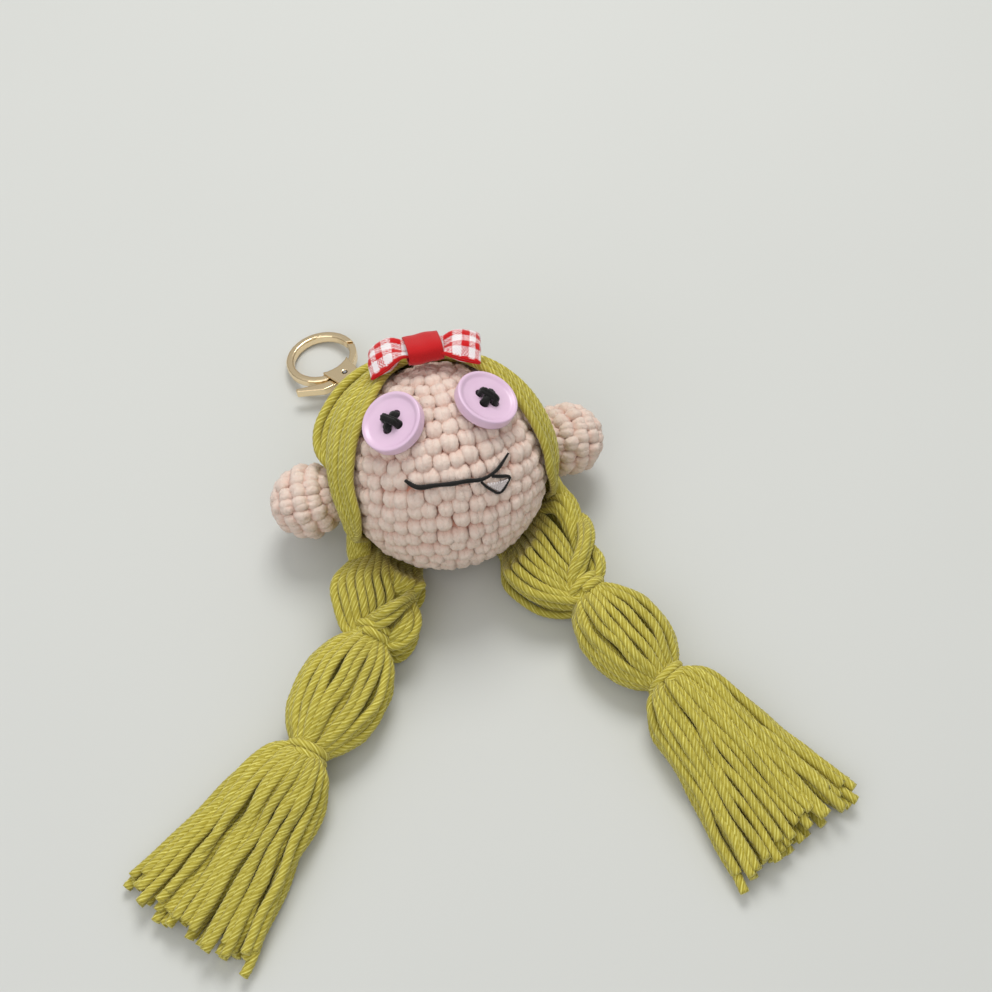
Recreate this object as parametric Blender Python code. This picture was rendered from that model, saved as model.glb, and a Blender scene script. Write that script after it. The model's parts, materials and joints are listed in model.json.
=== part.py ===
"""Yarn doll keychain: a crocheted doll's head with two pigtails, hanging from a lobster clasp.

Metres, +Z up. The doll lies on its back. The origin is on the table under the middle of the head,
+Y points to the crown and +X to the doll's ear on the right of someone who looks at its face.
"""

from math import acos, asin, ceil, cos, degrees, pi, radians, sin, sqrt, tan

import bmesh
import bpy
from mathutils import Matrix, Vector

# Clearances
SEAT_GAP = 0.0003
TURN_GAP = 0.00042
CUT_OVERRUN = 0.001
SHARP_ANGLE = 40

# Head: a crocheted cover over stuffing, pressed flat where it rests
HEAD_RADIUS = 0.028
HEAD_HEIGHT = 0.026
COVER_WALL = 0.0025
COVER_REST_HEIGHT = 0.0025
COVER_HOLE_RADIUS = 0.0029
BALL_SIDES = 24
BALL_RINGS = 12
CLOSING_TILT = 119
CLOSING_BEARING = 0

# Ears: two small crocheted balls
EAR_STANDOFF = 0.0004
EAR_REACH = 0.0104
EAR_RADIUS = 0.0103
EAR_TILT = 106
EAR_BEARING = 81
EAR_WALL = 0.0022
EAR_HOLE_RADIUS = 0.0015
EAR_SIDES = 16
EAR_RINGS = 8

# Hair: strands laid from the parting down to the plaits, on the head
HAIR_THICKNESS = 0.0026
HAIR_FACET_ROOM = 0.0004
HAIR_ROOT_CLEAR_ANGLE = 5
HAIR_END_WIDTH = 0.0045
HAIR_GATHER_ANGLE = 22
HAIR_GATHER_LIFT = 0.0056
HAIR_COLUMNS = 4
HAIR_ROWS = 9
LEFT_FRONT_PILE = 0.0017
LEFT_BACK_PILE = 0.0056
RIGHT_FRONT_PILE = 0.0002
RIGHT_BACK_PILE = 0.0012
PILE_FROM_SHARE = 0.03
PILE_RISE_SHARE = 0.17
FRONT_GROUP_SHARES = (0.0, 0.46)
BACK_GROUP_SHARES = (0.46, 1.0)
NAPE_SHARES = (0.23, 0.86)
NAPE_COLUMNS = 12
STITCH_RADIUS = 0.0014
STITCH_TILTS = (58, 104)
STITCH_SECTIONS = 9

# Edges of the hair: tilt from straight up and bearing from the crown, in degrees. The tilts are for a plait
# whose root has the tilt given here.
EDGE_ROOT_TILT = 116.7
LEFT_FACE_EDGE = (
    (47, 5), (44, 24), (38, 48), (40, 70), (46, 84), (54, 97), (64, 106), (75, 116), (86, 118), (98, 116),
)
RIGHT_FACE_EDGE = (
    (47, 5), (44, 24), (37, 46), (38, 66), (42, 84), (48, 99), (56, 108), (65, 114), (75, 120), (88, 119),
    (101, 115),
)
SIDE_BACK_EDGE = ((109, 5), (118, 22), (126, 42), (130, 62), (130, 82), (126, 98))

# Buttons and the threads that sew them on
BUTTON_RADIUS = 0.00825
BUTTON_THICKNESS = 0.0030
BUTTON_RIM_WIDTH = 0.0013
BUTTON_DISH_DEPTH = 0.0008
BUTTON_EDGE_ROUND = 0.0005
BUTTON_SIDES = 24
BUTTON_HOLE_RADIUS = 0.00125
BUTTON_HOLE_OFFSET = 0.0022
BUTTON_HOLE_SIDES = 8
EYE_PLACES = {"left": (25.4, -96), "right": (23.2, 96)}
EYE_THREAD_TURNS = {"left": -4, "right": 5}
EYE_THREAD_RADIUS = 0.00092
EYE_THREAD_SIDES = 6

# Mouth and tongue
MOUTH_THREAD_RADIUS = 0.0005
MOUTH_STATIONS = (
    (44.1, -138), (45.2, -146), (44.7, -152), (42.8, -165), (43.2, -182), (45.1, -193), (45.4, -201),
    (45.1, -211), (44.1, -225),
)
MOUTH_POINTS = 18
TONGUE_THREAD_RADIUS = 0.0004
TONGUE_STATIONS = ((48.3, -195), (54, -199), (56.4, -202), (55.2, -212), (52.6, -213.5), (48.7, -205))
TONGUE_POINTS = 12
TONGUE_FILL_STATION = (52.4, -204.5)
TONGUE_FILL_RADIUS = 0.0011
TONGUE_FILL_THICKNESS = 0.0006
TONGUE_FILL_SIDES = 10

# Bow of gingham ribbon
BOW_TILT = 33.5
BOW_BEARING = 1
BOW_STANDOFF = 0.0058
BOW_FACE_TILT = 22
BOW_TURN = -14
BOW_BAND_LENGTH = 0.0092
BOW_BAND_WIDTH = 0.0094
BOW_BAND_HEIGHT = 0.0056
BOW_BAND_WALL = 0.0009
BOW_BAND_SIDES = 16
BOW_BAND_ROUNDNESS = 0.72
BOW_LOOP_LENGTH = 0.0102
BOW_LOOP_ROOT_WIDTH = 0.0052
BOW_LOOP_END_WIDTH = 0.0114
BOW_LOOP_HEIGHT = 0.0052
BOW_LOOP_ROOT_HEIGHT = 0.0018
BOW_LOOP_WALL = 0.0007
BOW_LOOP_POINTS = 16
BOW_LOOP_ROUNDNESS = 0.6
BOW_NECK_LENGTH = 0.0010
BOW_PUFF_SHARE = 0.45
BOW_ROOT_GAP = 0.0012
BOW_LOOP_DROPS = {"left": 20, "right": 10}

# Pigtails: where each plait starts in plan, its course on the table and the lengths between its ties
PLAIT_ROOT_STANDOFF = 0.0038
PLAIT_ROOT_BEARING = {"left": -108.2, "right": 108.5}
PLAIT_COURSE = {"left": -88, "right": -94}
PLAIT_START_COURSE = {"left": -96, "right": -84}
PLAIT_BEND_SHARES = (0.34, 0.26)
PLAIT_LENGTH = {"left": 0.0262, "right": 0.0288}
BULB_COURSE = {"left": -131.5, "right": -66.6}
BULB_LENGTH = {"left": 0.0361, "right": 0.0330}
TASSEL_COURSE = {"left": -135, "right": -69}
TASSEL_LENGTH = {"left": 0.0505, "right": 0.0500}
PLAIT_HEIGHT = 0.0100
SECOND_TIE_HEIGHT = 0.0080
PLAIT_BUNDLES = 3
PLAIT_SPREAD = 0.0079
PLAIT_LIFT = 0.0058
PLAIT_BUNDLE_RADIUS = 0.0041
PLAIT_CROSSINGS = {"left": 0.70, "right": -0.70}
PLAIT_START_PHASE = {"left": 200, "right": -20}
PLAIT_GATHER_RADIUS = 0.0042
PLAIT_GATHER_SIDES = 12
PLAIT_GATHER_RINGS = 6
PLAIT_ROOT_SHARE = 0.34
PLAIT_TIE_SHARE = 0.37
PLAIT_FULL_SHARES = (0.50, 0.66)
PLAIT_SECTIONS = 12
PLAIT_SIDES = 8

# Ties: yarn wound round the strands
TIE_YARN_RADIUS = 0.0011
TIE_TURNS = 1.25
TIE_LOOP_POINTS = 24
NECK_RADIUS = 0.0035
NECK_CUT = 0.0015
NECK_STEM_RADIUS = 0.0026
SWING_LIMIT = 20
SWING_MARGIN = 4
PLAIT_INWARD_SWING = 9

# Bulbs and tassels
BULB_HALF_WIDTH = 0.0130
BULB_HALF_HEIGHT = 0.0098
BULB_END_RADIUS = 0.0052
BULB_SIDES = 20
FLUTE_SHARE = 0.035
BULB_SHOULDER_SHARES = ((0.0, 0.44), (0.10, 0.72), (0.28, 0.94), (0.47, 1.0), (0.68, 0.93), (0.87, 0.70))
TASSEL_SHOULDER_RADIUS = 0.0060
TASSEL_END_HALF_WIDTH = 0.0212
TASSEL_TOP_HEIGHT = 0.0140
TASSEL_END_HEIGHT = 0.0084
TASSEL_UNEVEN = 0.0022
TASSEL_UNEVEN_SHARES = (0.4, 1.0)
TASSEL_UNEVEN_WAVES = 5
TASSEL_SIDES = 20
TASSEL_SHARES = (
    (0.10, 0.22, 0.72), (0.28, 0.42, 1.0), (0.52, 0.64, 0.86), (0.76, 0.83, 0.40), (1.0, 1.0, 0.0),
)

# Hanging loop of yarn at the crown
LOOP_YARN_RADIUS = 0.0010
LOOP_LEG_SPACING = 0.0025
LOOP_ROOM = 0.0008
LOOP_SIDES_POINTS = 9
LOOP_BEND_POINTS = 7

# Clasp: its place is the wire of the swivel eye, where the hanging loop bends round it
CLASP_PLACE = (-0.0109, 0.0379, 0.0090)
CLASP_COURSE = 25.5
CLASP_DROP = 12
EYE_RING_RADIUS = 0.0032
EYE_WIRE_RADIUS = 0.0009
EYE_RING_POINTS = 20
EYE_WIRE_SIDES = 6
STEM_RADIUS = 0.0009
STEM_HEAD_RADIUS = 0.0015
STEM_HEAD_LENGTH = 0.0010
STEM_SIDES = 12
COLLAR_RADIUS = 0.0025
COLLAR_LENGTH = 0.0026
CASE_THICKNESS = 0.0050
CASE_LENGTH = 0.0103
CASE_HALF_WIDTH = 0.0045
CASE_SHOULDER_SHARE = 0.82
SLOT_HEIGHT = 0.0032
SLOT_FLARE = 0.0012
RING_START = 0.01545
RING_OUTER_RADIUS = 0.01075
RING_BAND = 0.0023
RING_THICKNESS = 0.0028
RING_EDGE = 0.0004
HOOK_END_ANGLES = (-116, 178)
HOOK_STEPS = 26
SPINE_EDGE = 0.0004
LEVER_THICKNESS = 0.0024
LEVER_PIVOT_PLACE = (0.0142, -0.0002)
LEVER_HUB_RADIUS = 0.0021
GATE_REACH_SHARE = 1.2744
GATE_WIDTH = 0.0021
GATE_ROOT_ANGLE = -146
GATE_STEPS = 6
MOUTH_ANGLES = (-75, -28)
TRIGGER_WIDTH = 0.0022
TRIGGER_TIP = (0.0203, 0.0135)
TRIGGER_ELBOW = (0.0153, 0.0072)
PIN_RADIUS = 0.0005
PIN_SIDES = 10
SPRING_WIRE_RADIUS = 0.00018
SPRING_RADIUS = 0.00105
SPRING_TURNS = 1.5
SPRING_TURN_POINTS = 10
SPRING_POCKET_RADIUS = 0.00155
HUB_FLOOR = 0.0007
HUB_TURNS = (-20, 20, 50)
HUB_BACK_TURNS = (145, 180, 225, 270)

PALE_PINK = (0.82, 0.58, 0.50, 1)
FIBRE_WHITE = (0.85, 0.84, 0.80, 1)
OLIVE_GREEN = (0.43, 0.42, 0.06, 1)
LILAC = (0.72, 0.50, 0.70, 1)
BLACK = (0.012, 0.012, 0.014, 1)
RIBBON_RED = (0.62, 0.02, 0.03, 1)
GINGHAM = (0.72, 0.25, 0.26, 1)
GOLD = (0.85, 0.66, 0.38, 1)
STEEL = (0.55, 0.55, 0.56, 1)


def clear_scene():
    for thing in list(bpy.data.objects):
        bpy.data.objects.remove(thing)


def finish(name, colour, roughness, metallic=0.0):
    material = bpy.data.materials.new(name)
    material.use_nodes = True
    shader = material.node_tree.nodes["Principled BSDF"]
    shader.inputs["Base Color"].default_value = colour
    shader.inputs["Roughness"].default_value = roughness
    shader.inputs["Metallic"].default_value = metallic
    return material


def frame_at(name, place, parent=None, turns=(0, 0, 0)):
    """An empty that carries the pieces built in its own coordinates."""
    frame = bpy.data.objects.new(name, None)
    bpy.context.collection.objects.link(frame)
    frame.location = place
    frame.rotation_euler = turns
    frame.parent = parent
    return frame


def piece(name, data, parent, colour, roughness, metallic=0.0):
    made = bpy.data.objects.new(name, data)
    bpy.context.collection.objects.link(made)
    made.parent = parent
    data.materials.append(finish(name, colour, roughness, metallic))
    return made


def fold(corners, middle):
    """Splits a four-cornered face along the diagonal that stands out most from the middle of the shape."""
    if len(corners) < 4:
        return [corners]
    a, b, c, d = corners
    if ((a.co + c.co) / 2 - middle).length > ((b.co + d.co) / 2 - middle).length:
        return [(a, b, c), (a, c, d)]
    return [(a, b, d), (b, c, d)]


def lofted(name, sections, closed=False):
    """A mesh skinned over sections of points. A section of one point is a pole."""
    shape = bmesh.new()
    rows = [[shape.verts.new(point) for point in section] for section in sections]
    middle = sum((vert.co for vert in shape.verts), Vector()) / len(shape.verts)
    pairs = list(zip(rows, rows[1:]))
    if closed:
        pairs.append((rows[-1], rows[0]))
    for near, far in pairs:
        count = max(len(near), len(far))
        for step in range(count):
            after = (step + 1) % count
            corners = [near[step % len(near)], near[after % len(near)]]
            corners += [far[after % len(far)], far[step % len(far)]]
            for face in fold(list(dict.fromkeys(corners)), middle):
                shape.faces.new(face)
    if not closed:
        for row in (rows[0], rows[-1]):
            if len(row) > 2:
                shape.faces.new(row)
    return mesh_of(name, shape)


def slab(name, inner, outer):
    """A shell between two grids of points, with walls round its edge."""
    shape = bmesh.new()
    grids = [[[shape.verts.new(point) for point in line] for line in grid] for grid in (inner, outer)]
    lines, points = len(inner), len(inner[0])
    for grid in grids:
        for line in range(lines - 1):
            for step in range(points - 1):
                near, far = grid[line], grid[line + 1]
                shape.faces.new((near[step], near[step + 1], far[step + 1], far[step]))
    low, high = grids
    border = [(line, 0) for line in range(lines - 1)] + [(lines - 1, step) for step in range(points - 1)]
    border += [(line, points - 1) for line in range(lines - 1, 0, -1)]
    border += [(0, step) for step in range(points - 1, 0, -1)]
    for (line, step), (next_line, next_step) in zip(border, border[1:] + border[:1]):
        wall = (low[line][step], low[next_line][next_step], high[next_line][next_step], high[line][step])
        shape.faces.new(wall)
    return mesh_of(name, shape)


def mesh_of(name, shape):
    """The shape as a mesh with its faces out, shaded smooth except at its edges."""
    bmesh.ops.recalc_face_normals(shape, faces=shape.faces)
    mesh = bpy.data.meshes.new(name)
    shape.to_mesh(mesh)
    shape.free()
    mesh.shade_smooth()
    mesh.set_sharp_from_angle(angle=radians(SHARP_ANGLE))
    return mesh


def polygon_plate(name, outline, low, high):
    """A flat plate with the given outline, from height low to height high."""
    return lofted(name, [[Vector((x, y, z)) for x, y in outline] for z in (low, high)])


def cut(made, cutter, operation="DIFFERENCE"):
    change = made.modifiers.new(operation.lower(), "BOOLEAN")
    change.operation = operation
    change.solver = "EXACT"
    change.object = cutter


def helper(name, mesh, parent):
    """A cutter or a body to join: never part of the model by itself."""
    made = bpy.data.objects.new(name, mesh)
    bpy.context.collection.objects.link(made)
    made.parent = parent
    made.hide_render = True
    made.display_type = "WIRE"
    return made


def ring(centre, first, second, count, start=0.0):
    """Points round an ellipse with the two given half axes."""
    turns = [start + 2 * pi * step / count for step in range(count)]
    return [centre + first * cos(turn) + second * sin(turn) for turn in turns]


def across(axis):
    """Two unit vectors square to the axis and to each other."""
    aside = Vector((0, 0, 1)) if abs(axis.z) < 0.9 else Vector((0, 1, 0))
    first = axis.cross(aside).normalized()
    return first, axis.cross(first).normalized()


def heading(tilt, bearing):
    """Unit vector leaning from straight up by tilt, towards a bearing clockwise from the crown."""
    lean, way = radians(tilt), radians(bearing)
    return Vector((sin(lean) * sin(way), sin(lean) * cos(way), cos(lean)))


def smooth_path(points, count):
    """Evenly spaced samples of a smooth curve through the points."""
    fine = []
    for step in range(len(points) - 1):
        before = points[max(step - 1, 0)]
        after = points[min(step + 2, len(points) - 1)]
        start, end = points[step], points[step + 1]
        for part in range(16):
            t = part / 16
            pull = (2 * start + (end - before) * t + (2 * before - 5 * start + 4 * end - after) * t * t
                    + (3 * start - before - 3 * end + after) * t * t * t)
            fine.append(pull / 2)
    fine.append(points[-1])
    lengths = [0.0]
    for one, two in zip(fine, fine[1:]):
        lengths.append(lengths[-1] + (two - one).length)
    samples, index = [], 0
    for step in range(count):
        wanted = lengths[-1] * step / (count - 1)
        while index < len(lengths) - 2 and lengths[index + 1] < wanted:
            index += 1
        span = lengths[index + 1] - lengths[index]
        samples.append(fine[index].lerp(fine[index + 1], (wanted - lengths[index]) / span))
    return samples


def thread(name, points, radius, parent, colour, roughness, resolution=1, metallic=0.0):
    """A round thread or wire with closed ends along the points."""
    curve = bpy.data.curves.new(name, "CURVE")
    curve.dimensions = "3D"
    curve.bevel_depth = radius
    curve.bevel_resolution = resolution
    curve.use_fill_caps = True
    spline = curve.splines.new("POLY")
    spline.points.add(len(points) - 1)
    for spot, point in zip(spline.points, points):
        spot.co = (*point, 1)
    return piece(name, curve, parent, colour, roughness, metallic)


def tapered_tube(name, points, radii, sides):
    """A tube whose radius changes along the points."""
    sections = []
    first = None
    for index, point in enumerate(points):
        axis = (points[min(index + 1, len(points) - 1)] - points[max(index - 1, 0)]).normalized()
        if first is None:
            first = across(axis)[0]
        first = (first - axis * first.dot(axis)).normalized()
        second = axis.cross(first)
        sections.append(ring(point, first * radii[index], second * radii[index], sides))
    return lofted(name, sections)


def ball_sections(axis, along, across_radius, sides, rings, hole_radius, floor):
    """Rings of a ball about the axis, from the far pole to the hole's rim, none lower than the floor."""
    first, second = across(axis)
    rim = asin(hole_radius / across_radius)
    sections = []
    for step in range(rings + 1):
        turn = pi - (pi - rim) * step / rings
        centre, spread = axis * along * cos(turn), across_radius * sin(turn)
        points = ring(centre, first * spread, second * spread, sides) if step else [centre]
        sections.append([Vector((p.x, p.y, max(p.z, floor))) for p in points])
    return sections


def hollow_ball(name, axis, along, radius, wall, sides, rings, hole_radius, floor):
    """A ball-shaped shell with one round opening at the end of the axis."""
    outer = ball_sections(axis, along, radius, sides, rings, hole_radius, floor)
    inner = ball_sections(axis, along - wall, radius - wall, sides, rings, hole_radius, floor + wall)
    return lofted(name, outer + inner[::-1])


def filled_ball(name, axis, along, radius, sides, rings, flat_radius, floor):
    """A solid ball with a small flat at the end of the axis."""
    return lofted(name, ball_sections(axis, along, radius, sides, rings, flat_radius, floor))


# Head


def cover_axis():
    return heading(CLOSING_TILT, CLOSING_BEARING)


def build_head(head):
    floor = COVER_REST_HEIGHT - HEAD_HEIGHT
    axis = cover_axis()
    cover = hollow_ball(
        "head_cover", axis, HEAD_RADIUS, HEAD_RADIUS, COVER_WALL, BALL_SIDES, BALL_RINGS, COVER_HOLE_RADIUS,
        floor
    )
    piece("head_cover", cover, head, PALE_PINK, 0.95)
    inset = COVER_WALL + SEAT_GAP
    inner = HEAD_RADIUS - inset
    stuffing = filled_ball(
        "head_stuffing", axis, inner, inner, BALL_SIDES, BALL_RINGS, COVER_HOLE_RADIUS,
        floor + inset + SEAT_GAP
    )
    piece("head_stuffing", stuffing, head, FIBRE_WHITE, 1.0)


def ear_axis(side):
    return heading(EAR_TILT, side * EAR_BEARING)


def ear_place(side):
    """Middle of an ear, in the head's own coordinates."""
    return ear_axis(side) * (HEAD_RADIUS + EAR_STANDOFF + EAR_REACH)


def ear_cutter(head, side, word):
    """The ear with its clearance, for the hair that parts round it."""
    axis = ear_axis(side)
    room = EAR_RADIUS + SEAT_GAP
    name = word + "_ear_room"
    form = filled_ball(name, axis, EAR_REACH + SEAT_GAP, room, EAR_SIDES, EAR_RINGS, room / 4, -room)
    made = helper(name, form, head)
    made.location = ear_place(side)
    return made


def build_ears(head):
    for word, side in (("left", -1), ("right", 1)):
        axis = -ear_axis(side)
        frame = frame_at(word + "_ear_frame", ear_place(side), head)
        cover = hollow_ball(
            word + "_ear_cover", axis, EAR_REACH, EAR_RADIUS, EAR_WALL, EAR_SIDES, EAR_RINGS, EAR_HOLE_RADIUS,
            -EAR_RADIUS
        )
        piece(word + "_ear_cover", cover, frame, PALE_PINK, 0.95)
        inset = EAR_WALL + SEAT_GAP
        stuffing = filled_ball(
            word + "_ear_stuffing", axis, EAR_REACH - inset, EAR_RADIUS - inset, EAR_SIDES, EAR_RINGS,
            EAR_HOLE_RADIUS, -EAR_RADIUS
        )
        piece(word + "_ear_stuffing", stuffing, frame, FIBRE_WHITE, 1.0)


# Hair


def plait_root(word):
    """Where the plait swings, on the table beside the head."""
    bearing, reach = radians(PLAIT_ROOT_BEARING[word]), HEAD_RADIUS + PLAIT_ROOT_STANDOFF
    return Vector((reach * sin(bearing), reach * cos(bearing), PLAIT_HEIGHT))


def root_direction(word):
    return (plait_root(word) - Vector((0, 0, HEAD_HEIGHT))).normalized()


def edge_curve(stations, side, word, count):
    """Unit vectors from the parting to the plait, evenly along an edge of the hair."""
    root = root_direction(word)
    lean = degrees(acos(root.z)) / EDGE_ROOT_TILT
    points = [heading(tilt * lean, side * bearing) for tilt, bearing in stations]
    points.append(root)
    return [point.normalized() for point in smooth_path(points, count)]


def share_of(curve, share):
    """The point at a share of the way along a finely sampled curve."""
    place = share * (len(curve) - 1)
    index = min(int(place), len(curve) - 2)
    return curve[index].lerp(curve[index + 1], place - index).normalized()


def strand(front, back, across_share, share):
    return share_of(front, share).lerp(share_of(back, share), across_share).normalized()


def last_share(front, back, across_share, root):
    """How far along its path a strand comes before it turns into the plait."""
    limit = cos(radians(HAIR_ROOT_CLEAR_ANGLE))
    for step in range(200):
        share = step / 200
        narrow = share_of(front, share).angle(share_of(back, share)) * HEAD_RADIUS < HAIR_END_WIDTH
        if narrow or strand(front, back, across_share, share).dot(root) > limit:
            return share
    return 1.0


def pile_share(share):
    """How thick the pile has grown, from 0 at the parting to 1 a little way down."""
    rise = min(max((share - PILE_FROM_SHARE) / PILE_RISE_SHARE, 0), 1)
    return rise * rise * (3 - 2 * rise)


def hair_group(name, head, word, edges, shares, piles, cutters):
    """One group of strands as a shell on the head between two shares of the width of the hair."""
    front, back = edges
    root = root_direction(word)
    inner_radius = HEAD_RADIUS + SEAT_GAP + HAIR_FACET_ROOM
    near, far = [], []
    for column in range(HAIR_COLUMNS + 1):
        part = column / HAIR_COLUMNS
        share_here = shares[0] + (shares[1] - shares[0]) * part
        end = last_share(front, back, share_here, root)
        pile = piles[0] + (piles[1] - piles[0]) * part
        inner, outer = [], []
        for row in range(HAIR_ROWS + 1):
            share = end * row / HAIR_ROWS
            width = share_of(front, share).angle(share_of(back, share)) * HEAD_RADIUS
            margin = SEAT_GAP / width * (1 - 2 * part)
            way = strand(front, back, share_here + margin, share)
            near_root = max(1 - degrees(way.angle(root)) / HAIR_GATHER_ANGLE, 0)
            low = inner_radius + HAIR_GATHER_LIFT * near_root ** 2
            high = low + HAIR_THICKNESS + pile * pile_share(share) * (1 - near_root)
            inner.append(way * low)
            outer.append(way * high)
        near.append(inner)
        far.append(outer)
    made = piece(name, slab(name, near, far), head, OLIVE_GREEN, 0.9)
    for cutter in cutters:
        cut(made, cutter)


def gather_ball(name, radius):
    """A ball round a plait's root, where the strands leave the head."""
    sides, rings = PLAIT_GATHER_SIDES, PLAIT_GATHER_RINGS
    return filled_ball(name, Vector((0, 0, 1)), radius, radius, sides, rings, radius / 4, -radius)


def gather_cutter(head, word):
    """The gathered root of a plait with its clearance, for the hair that ends round it."""
    name = word + "_gather_room"
    made = helper(name, gather_ball(name, PLAIT_GATHER_RADIUS + SEAT_GAP), head)
    made.location = plait_root(word) - Vector((0, 0, HEAD_HEIGHT))
    return made


def build_nape_hair(head):
    """The strands over the back of the head, pressed flat where the head rests on them."""
    left = edge_curve(SIDE_BACK_EDGE, -1, "left", 60)
    right = edge_curve(SIDE_BACK_EDGE, 1, "right", 60)
    outer_radius = HEAD_RADIUS + SEAT_GAP + HAIR_THICKNESS
    deep_radius = HEAD_RADIUS - COVER_WALL / 2
    first, last = NAPE_SHARES
    near, far = [], []
    for column in range(NAPE_COLUMNS + 1):
        part = column / NAPE_COLUMNS
        inner, outer = [], []
        for row in range(HAIR_ROWS + 1):
            share = first + (last - first) * row / HAIR_ROWS
            one, two = share_of(left, share), share_of(right, share)
            middle = Vector((0, (one.y + two.y) / 2, -sqrt(1 - one.y * one.y)))
            margin = 2 * SEAT_GAP / (one.angle(two) * HEAD_RADIUS)
            place = part + margin * (1 - 2 * part)
            way = one * (1 - place) ** 2 + middle * (2 * place * (1 - place)) + two * place ** 2
            way.normalize()
            inner.append(way * deep_radius)
            outer.append(way * outer_radius)
        near.append([Vector((p.x, p.y, max(p.z, COVER_REST_HEIGHT - HEAD_HEIGHT))) for p in inner])
        far.append([Vector((p.x, p.y, max(p.z, -HEAD_HEIGHT))) for p in outer])
    made = piece("hair_nape", slab("hair_nape", near, far), head, OLIVE_GREEN, 0.9)
    room = SEAT_GAP + HAIR_FACET_ROOM
    radius = HEAD_RADIUS + room
    form = filled_ball(
        "head_room", cover_axis(), radius, radius, BALL_SIDES, BALL_RINGS, COVER_HOLE_RADIUS,
        COVER_REST_HEIGHT - HEAD_HEIGHT - room
    )
    cut(made, helper("head_room", form, head))
    room = loop_bend_radius() + LOOP_YARN_RADIUS + SEAT_GAP
    path = loop_course()
    cut(made, helper("loop_room", tapered_tube("loop_room", path, [room] * len(path), STEM_SIDES), head))


def build_parting_stitch(head):
    reach = HEAD_RADIUS + SEAT_GAP + STITCH_RADIUS
    low, high = STITCH_TILTS
    tilts = [low + (high - low) * step / (STITCH_SECTIONS - 1) for step in range(STITCH_SECTIONS)]
    points = [heading(tilt, 0) * reach for tilt in tilts]
    thread("parting_stitch", points, STITCH_RADIUS, head, OLIVE_GREEN, 0.9)


def build_hair(head):
    sides = (
        ("left", -1, LEFT_FACE_EDGE, LEFT_FRONT_PILE, LEFT_BACK_PILE),
        ("right", 1, RIGHT_FACE_EDGE, RIGHT_FRONT_PILE, RIGHT_BACK_PILE),
    )
    for word, side, face_edge, front_pile, back_pile in sides:
        edges = (edge_curve(face_edge, side, word, 60), edge_curve(SIDE_BACK_EDGE, side, word, 60))
        cutters = (ear_cutter(head, side, word), gather_cutter(head, word))
        front, back = (0, front_pile), (back_pile, 0)
        for place, shares, piles in (("_front", FRONT_GROUP_SHARES, front), ("_back", BACK_GROUP_SHARES, back)):
            hair_group("hair_" + word + place, head, word, edges, shares, piles, cutters)
    build_nape_hair(head)
    build_parting_stitch(head)


# Face


def surface_frame(name, head, tilt, bearing, distance, spin=0):
    """A frame on the head whose Z points straight out of it."""
    out = heading(tilt, bearing)
    side = Vector((0, 1, 0)).cross(out).normalized()
    up = out.cross(side)
    turned = Matrix((side, up, out)).transposed() @ Matrix.Rotation(radians(spin), 3, "Z")
    frame = frame_at(name, out * distance, head)
    frame.rotation_euler = turned.to_euler()
    return frame


def button_mesh(name):
    """A turned button: a flat back, a round rim and a shallow dish in front."""
    radius, edge = BUTTON_RADIUS, BUTTON_EDGE_ROUND
    dish = radius - BUTTON_RIM_WIDTH
    profile = (
        (0, 0), (radius - edge, 0), (radius, edge), (radius, BUTTON_THICKNESS - edge),
        (radius - edge, BUTTON_THICKNESS), (dish, BUTTON_THICKNESS),
        (dish - edge, BUTTON_THICKNESS - BUTTON_DISH_DEPTH), (0, BUTTON_THICKNESS - BUTTON_DISH_DEPTH),
    )
    sections = []
    for reach, height in profile:
        centre = Vector((0, 0, height))
        across_x, across_y = Vector((reach, 0, 0)), Vector((0, reach, 0))
        sections.append(ring(centre, across_x, across_y, BUTTON_SIDES) if reach else [centre])
    return lofted(name, sections)


def hole_corners():
    return [(radians(45 + 90 * step), BUTTON_HOLE_OFFSET) for step in range(4)]


def stitch_bar(name, turn, drop):
    """Thread up through one hole, across the button and down through the hole opposite."""
    top = BUTTON_THICKNESS - BUTTON_DISH_DEPTH + SEAT_GAP + EYE_THREAD_RADIUS
    reach = BUTTON_HOLE_OFFSET
    way = Vector((cos(turn), sin(turn), 0))
    up = Vector((0, 0, 1))
    corner = EYE_THREAD_RADIUS
    rise = [
        way * -reach - up * drop, way * -reach + up * (top - corner),
        way * -(reach - corner / 3) + up * (top - corner / 3), way * -(reach - corner) + up * top,
    ]
    points = rise + [Vector((-point.x, -point.y, point.z)) for point in rise[::-1]]
    return tapered_tube(name, points, [EYE_THREAD_RADIUS] * len(points), EYE_THREAD_SIDES)


def build_eyes(head):
    seat = HEAD_RADIUS + SEAT_GAP
    for word, (tilt, bearing) in EYE_PLACES.items():
        frame = surface_frame(word + "_eye_frame", head, tilt, bearing, seat, EYE_THREAD_TURNS[word])
        button = piece(word + "_eye_button", button_mesh(word + "_eye_button"), frame, LILAC, 0.35)
        for number, (turn, reach) in enumerate(hole_corners()):
            name = f"{word}_button_hole_{number}"
            centre = Vector((reach * cos(turn), reach * sin(turn), 0))
            across_x, across_y = Vector((BUTTON_HOLE_RADIUS, 0, 0)), Vector((0, BUTTON_HOLE_RADIUS, 0))
            outline = [(p.x, p.y) for p in ring(centre, across_x, across_y, BUTTON_HOLE_SIDES)]
            hole = polygon_plate(name, outline, -CUT_OVERRUN, BUTTON_THICKNESS + CUT_OVERRUN)
            cut(button, helper(name, hole, frame))
        name, second = word + "_eye_thread", word + "_second_bar"
        made = piece(name, stitch_bar(name, radians(45), 0), frame, BLACK, 0.8)
        cut(made, helper(second, stitch_bar(second, radians(135), 0), frame), "UNION")


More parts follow.
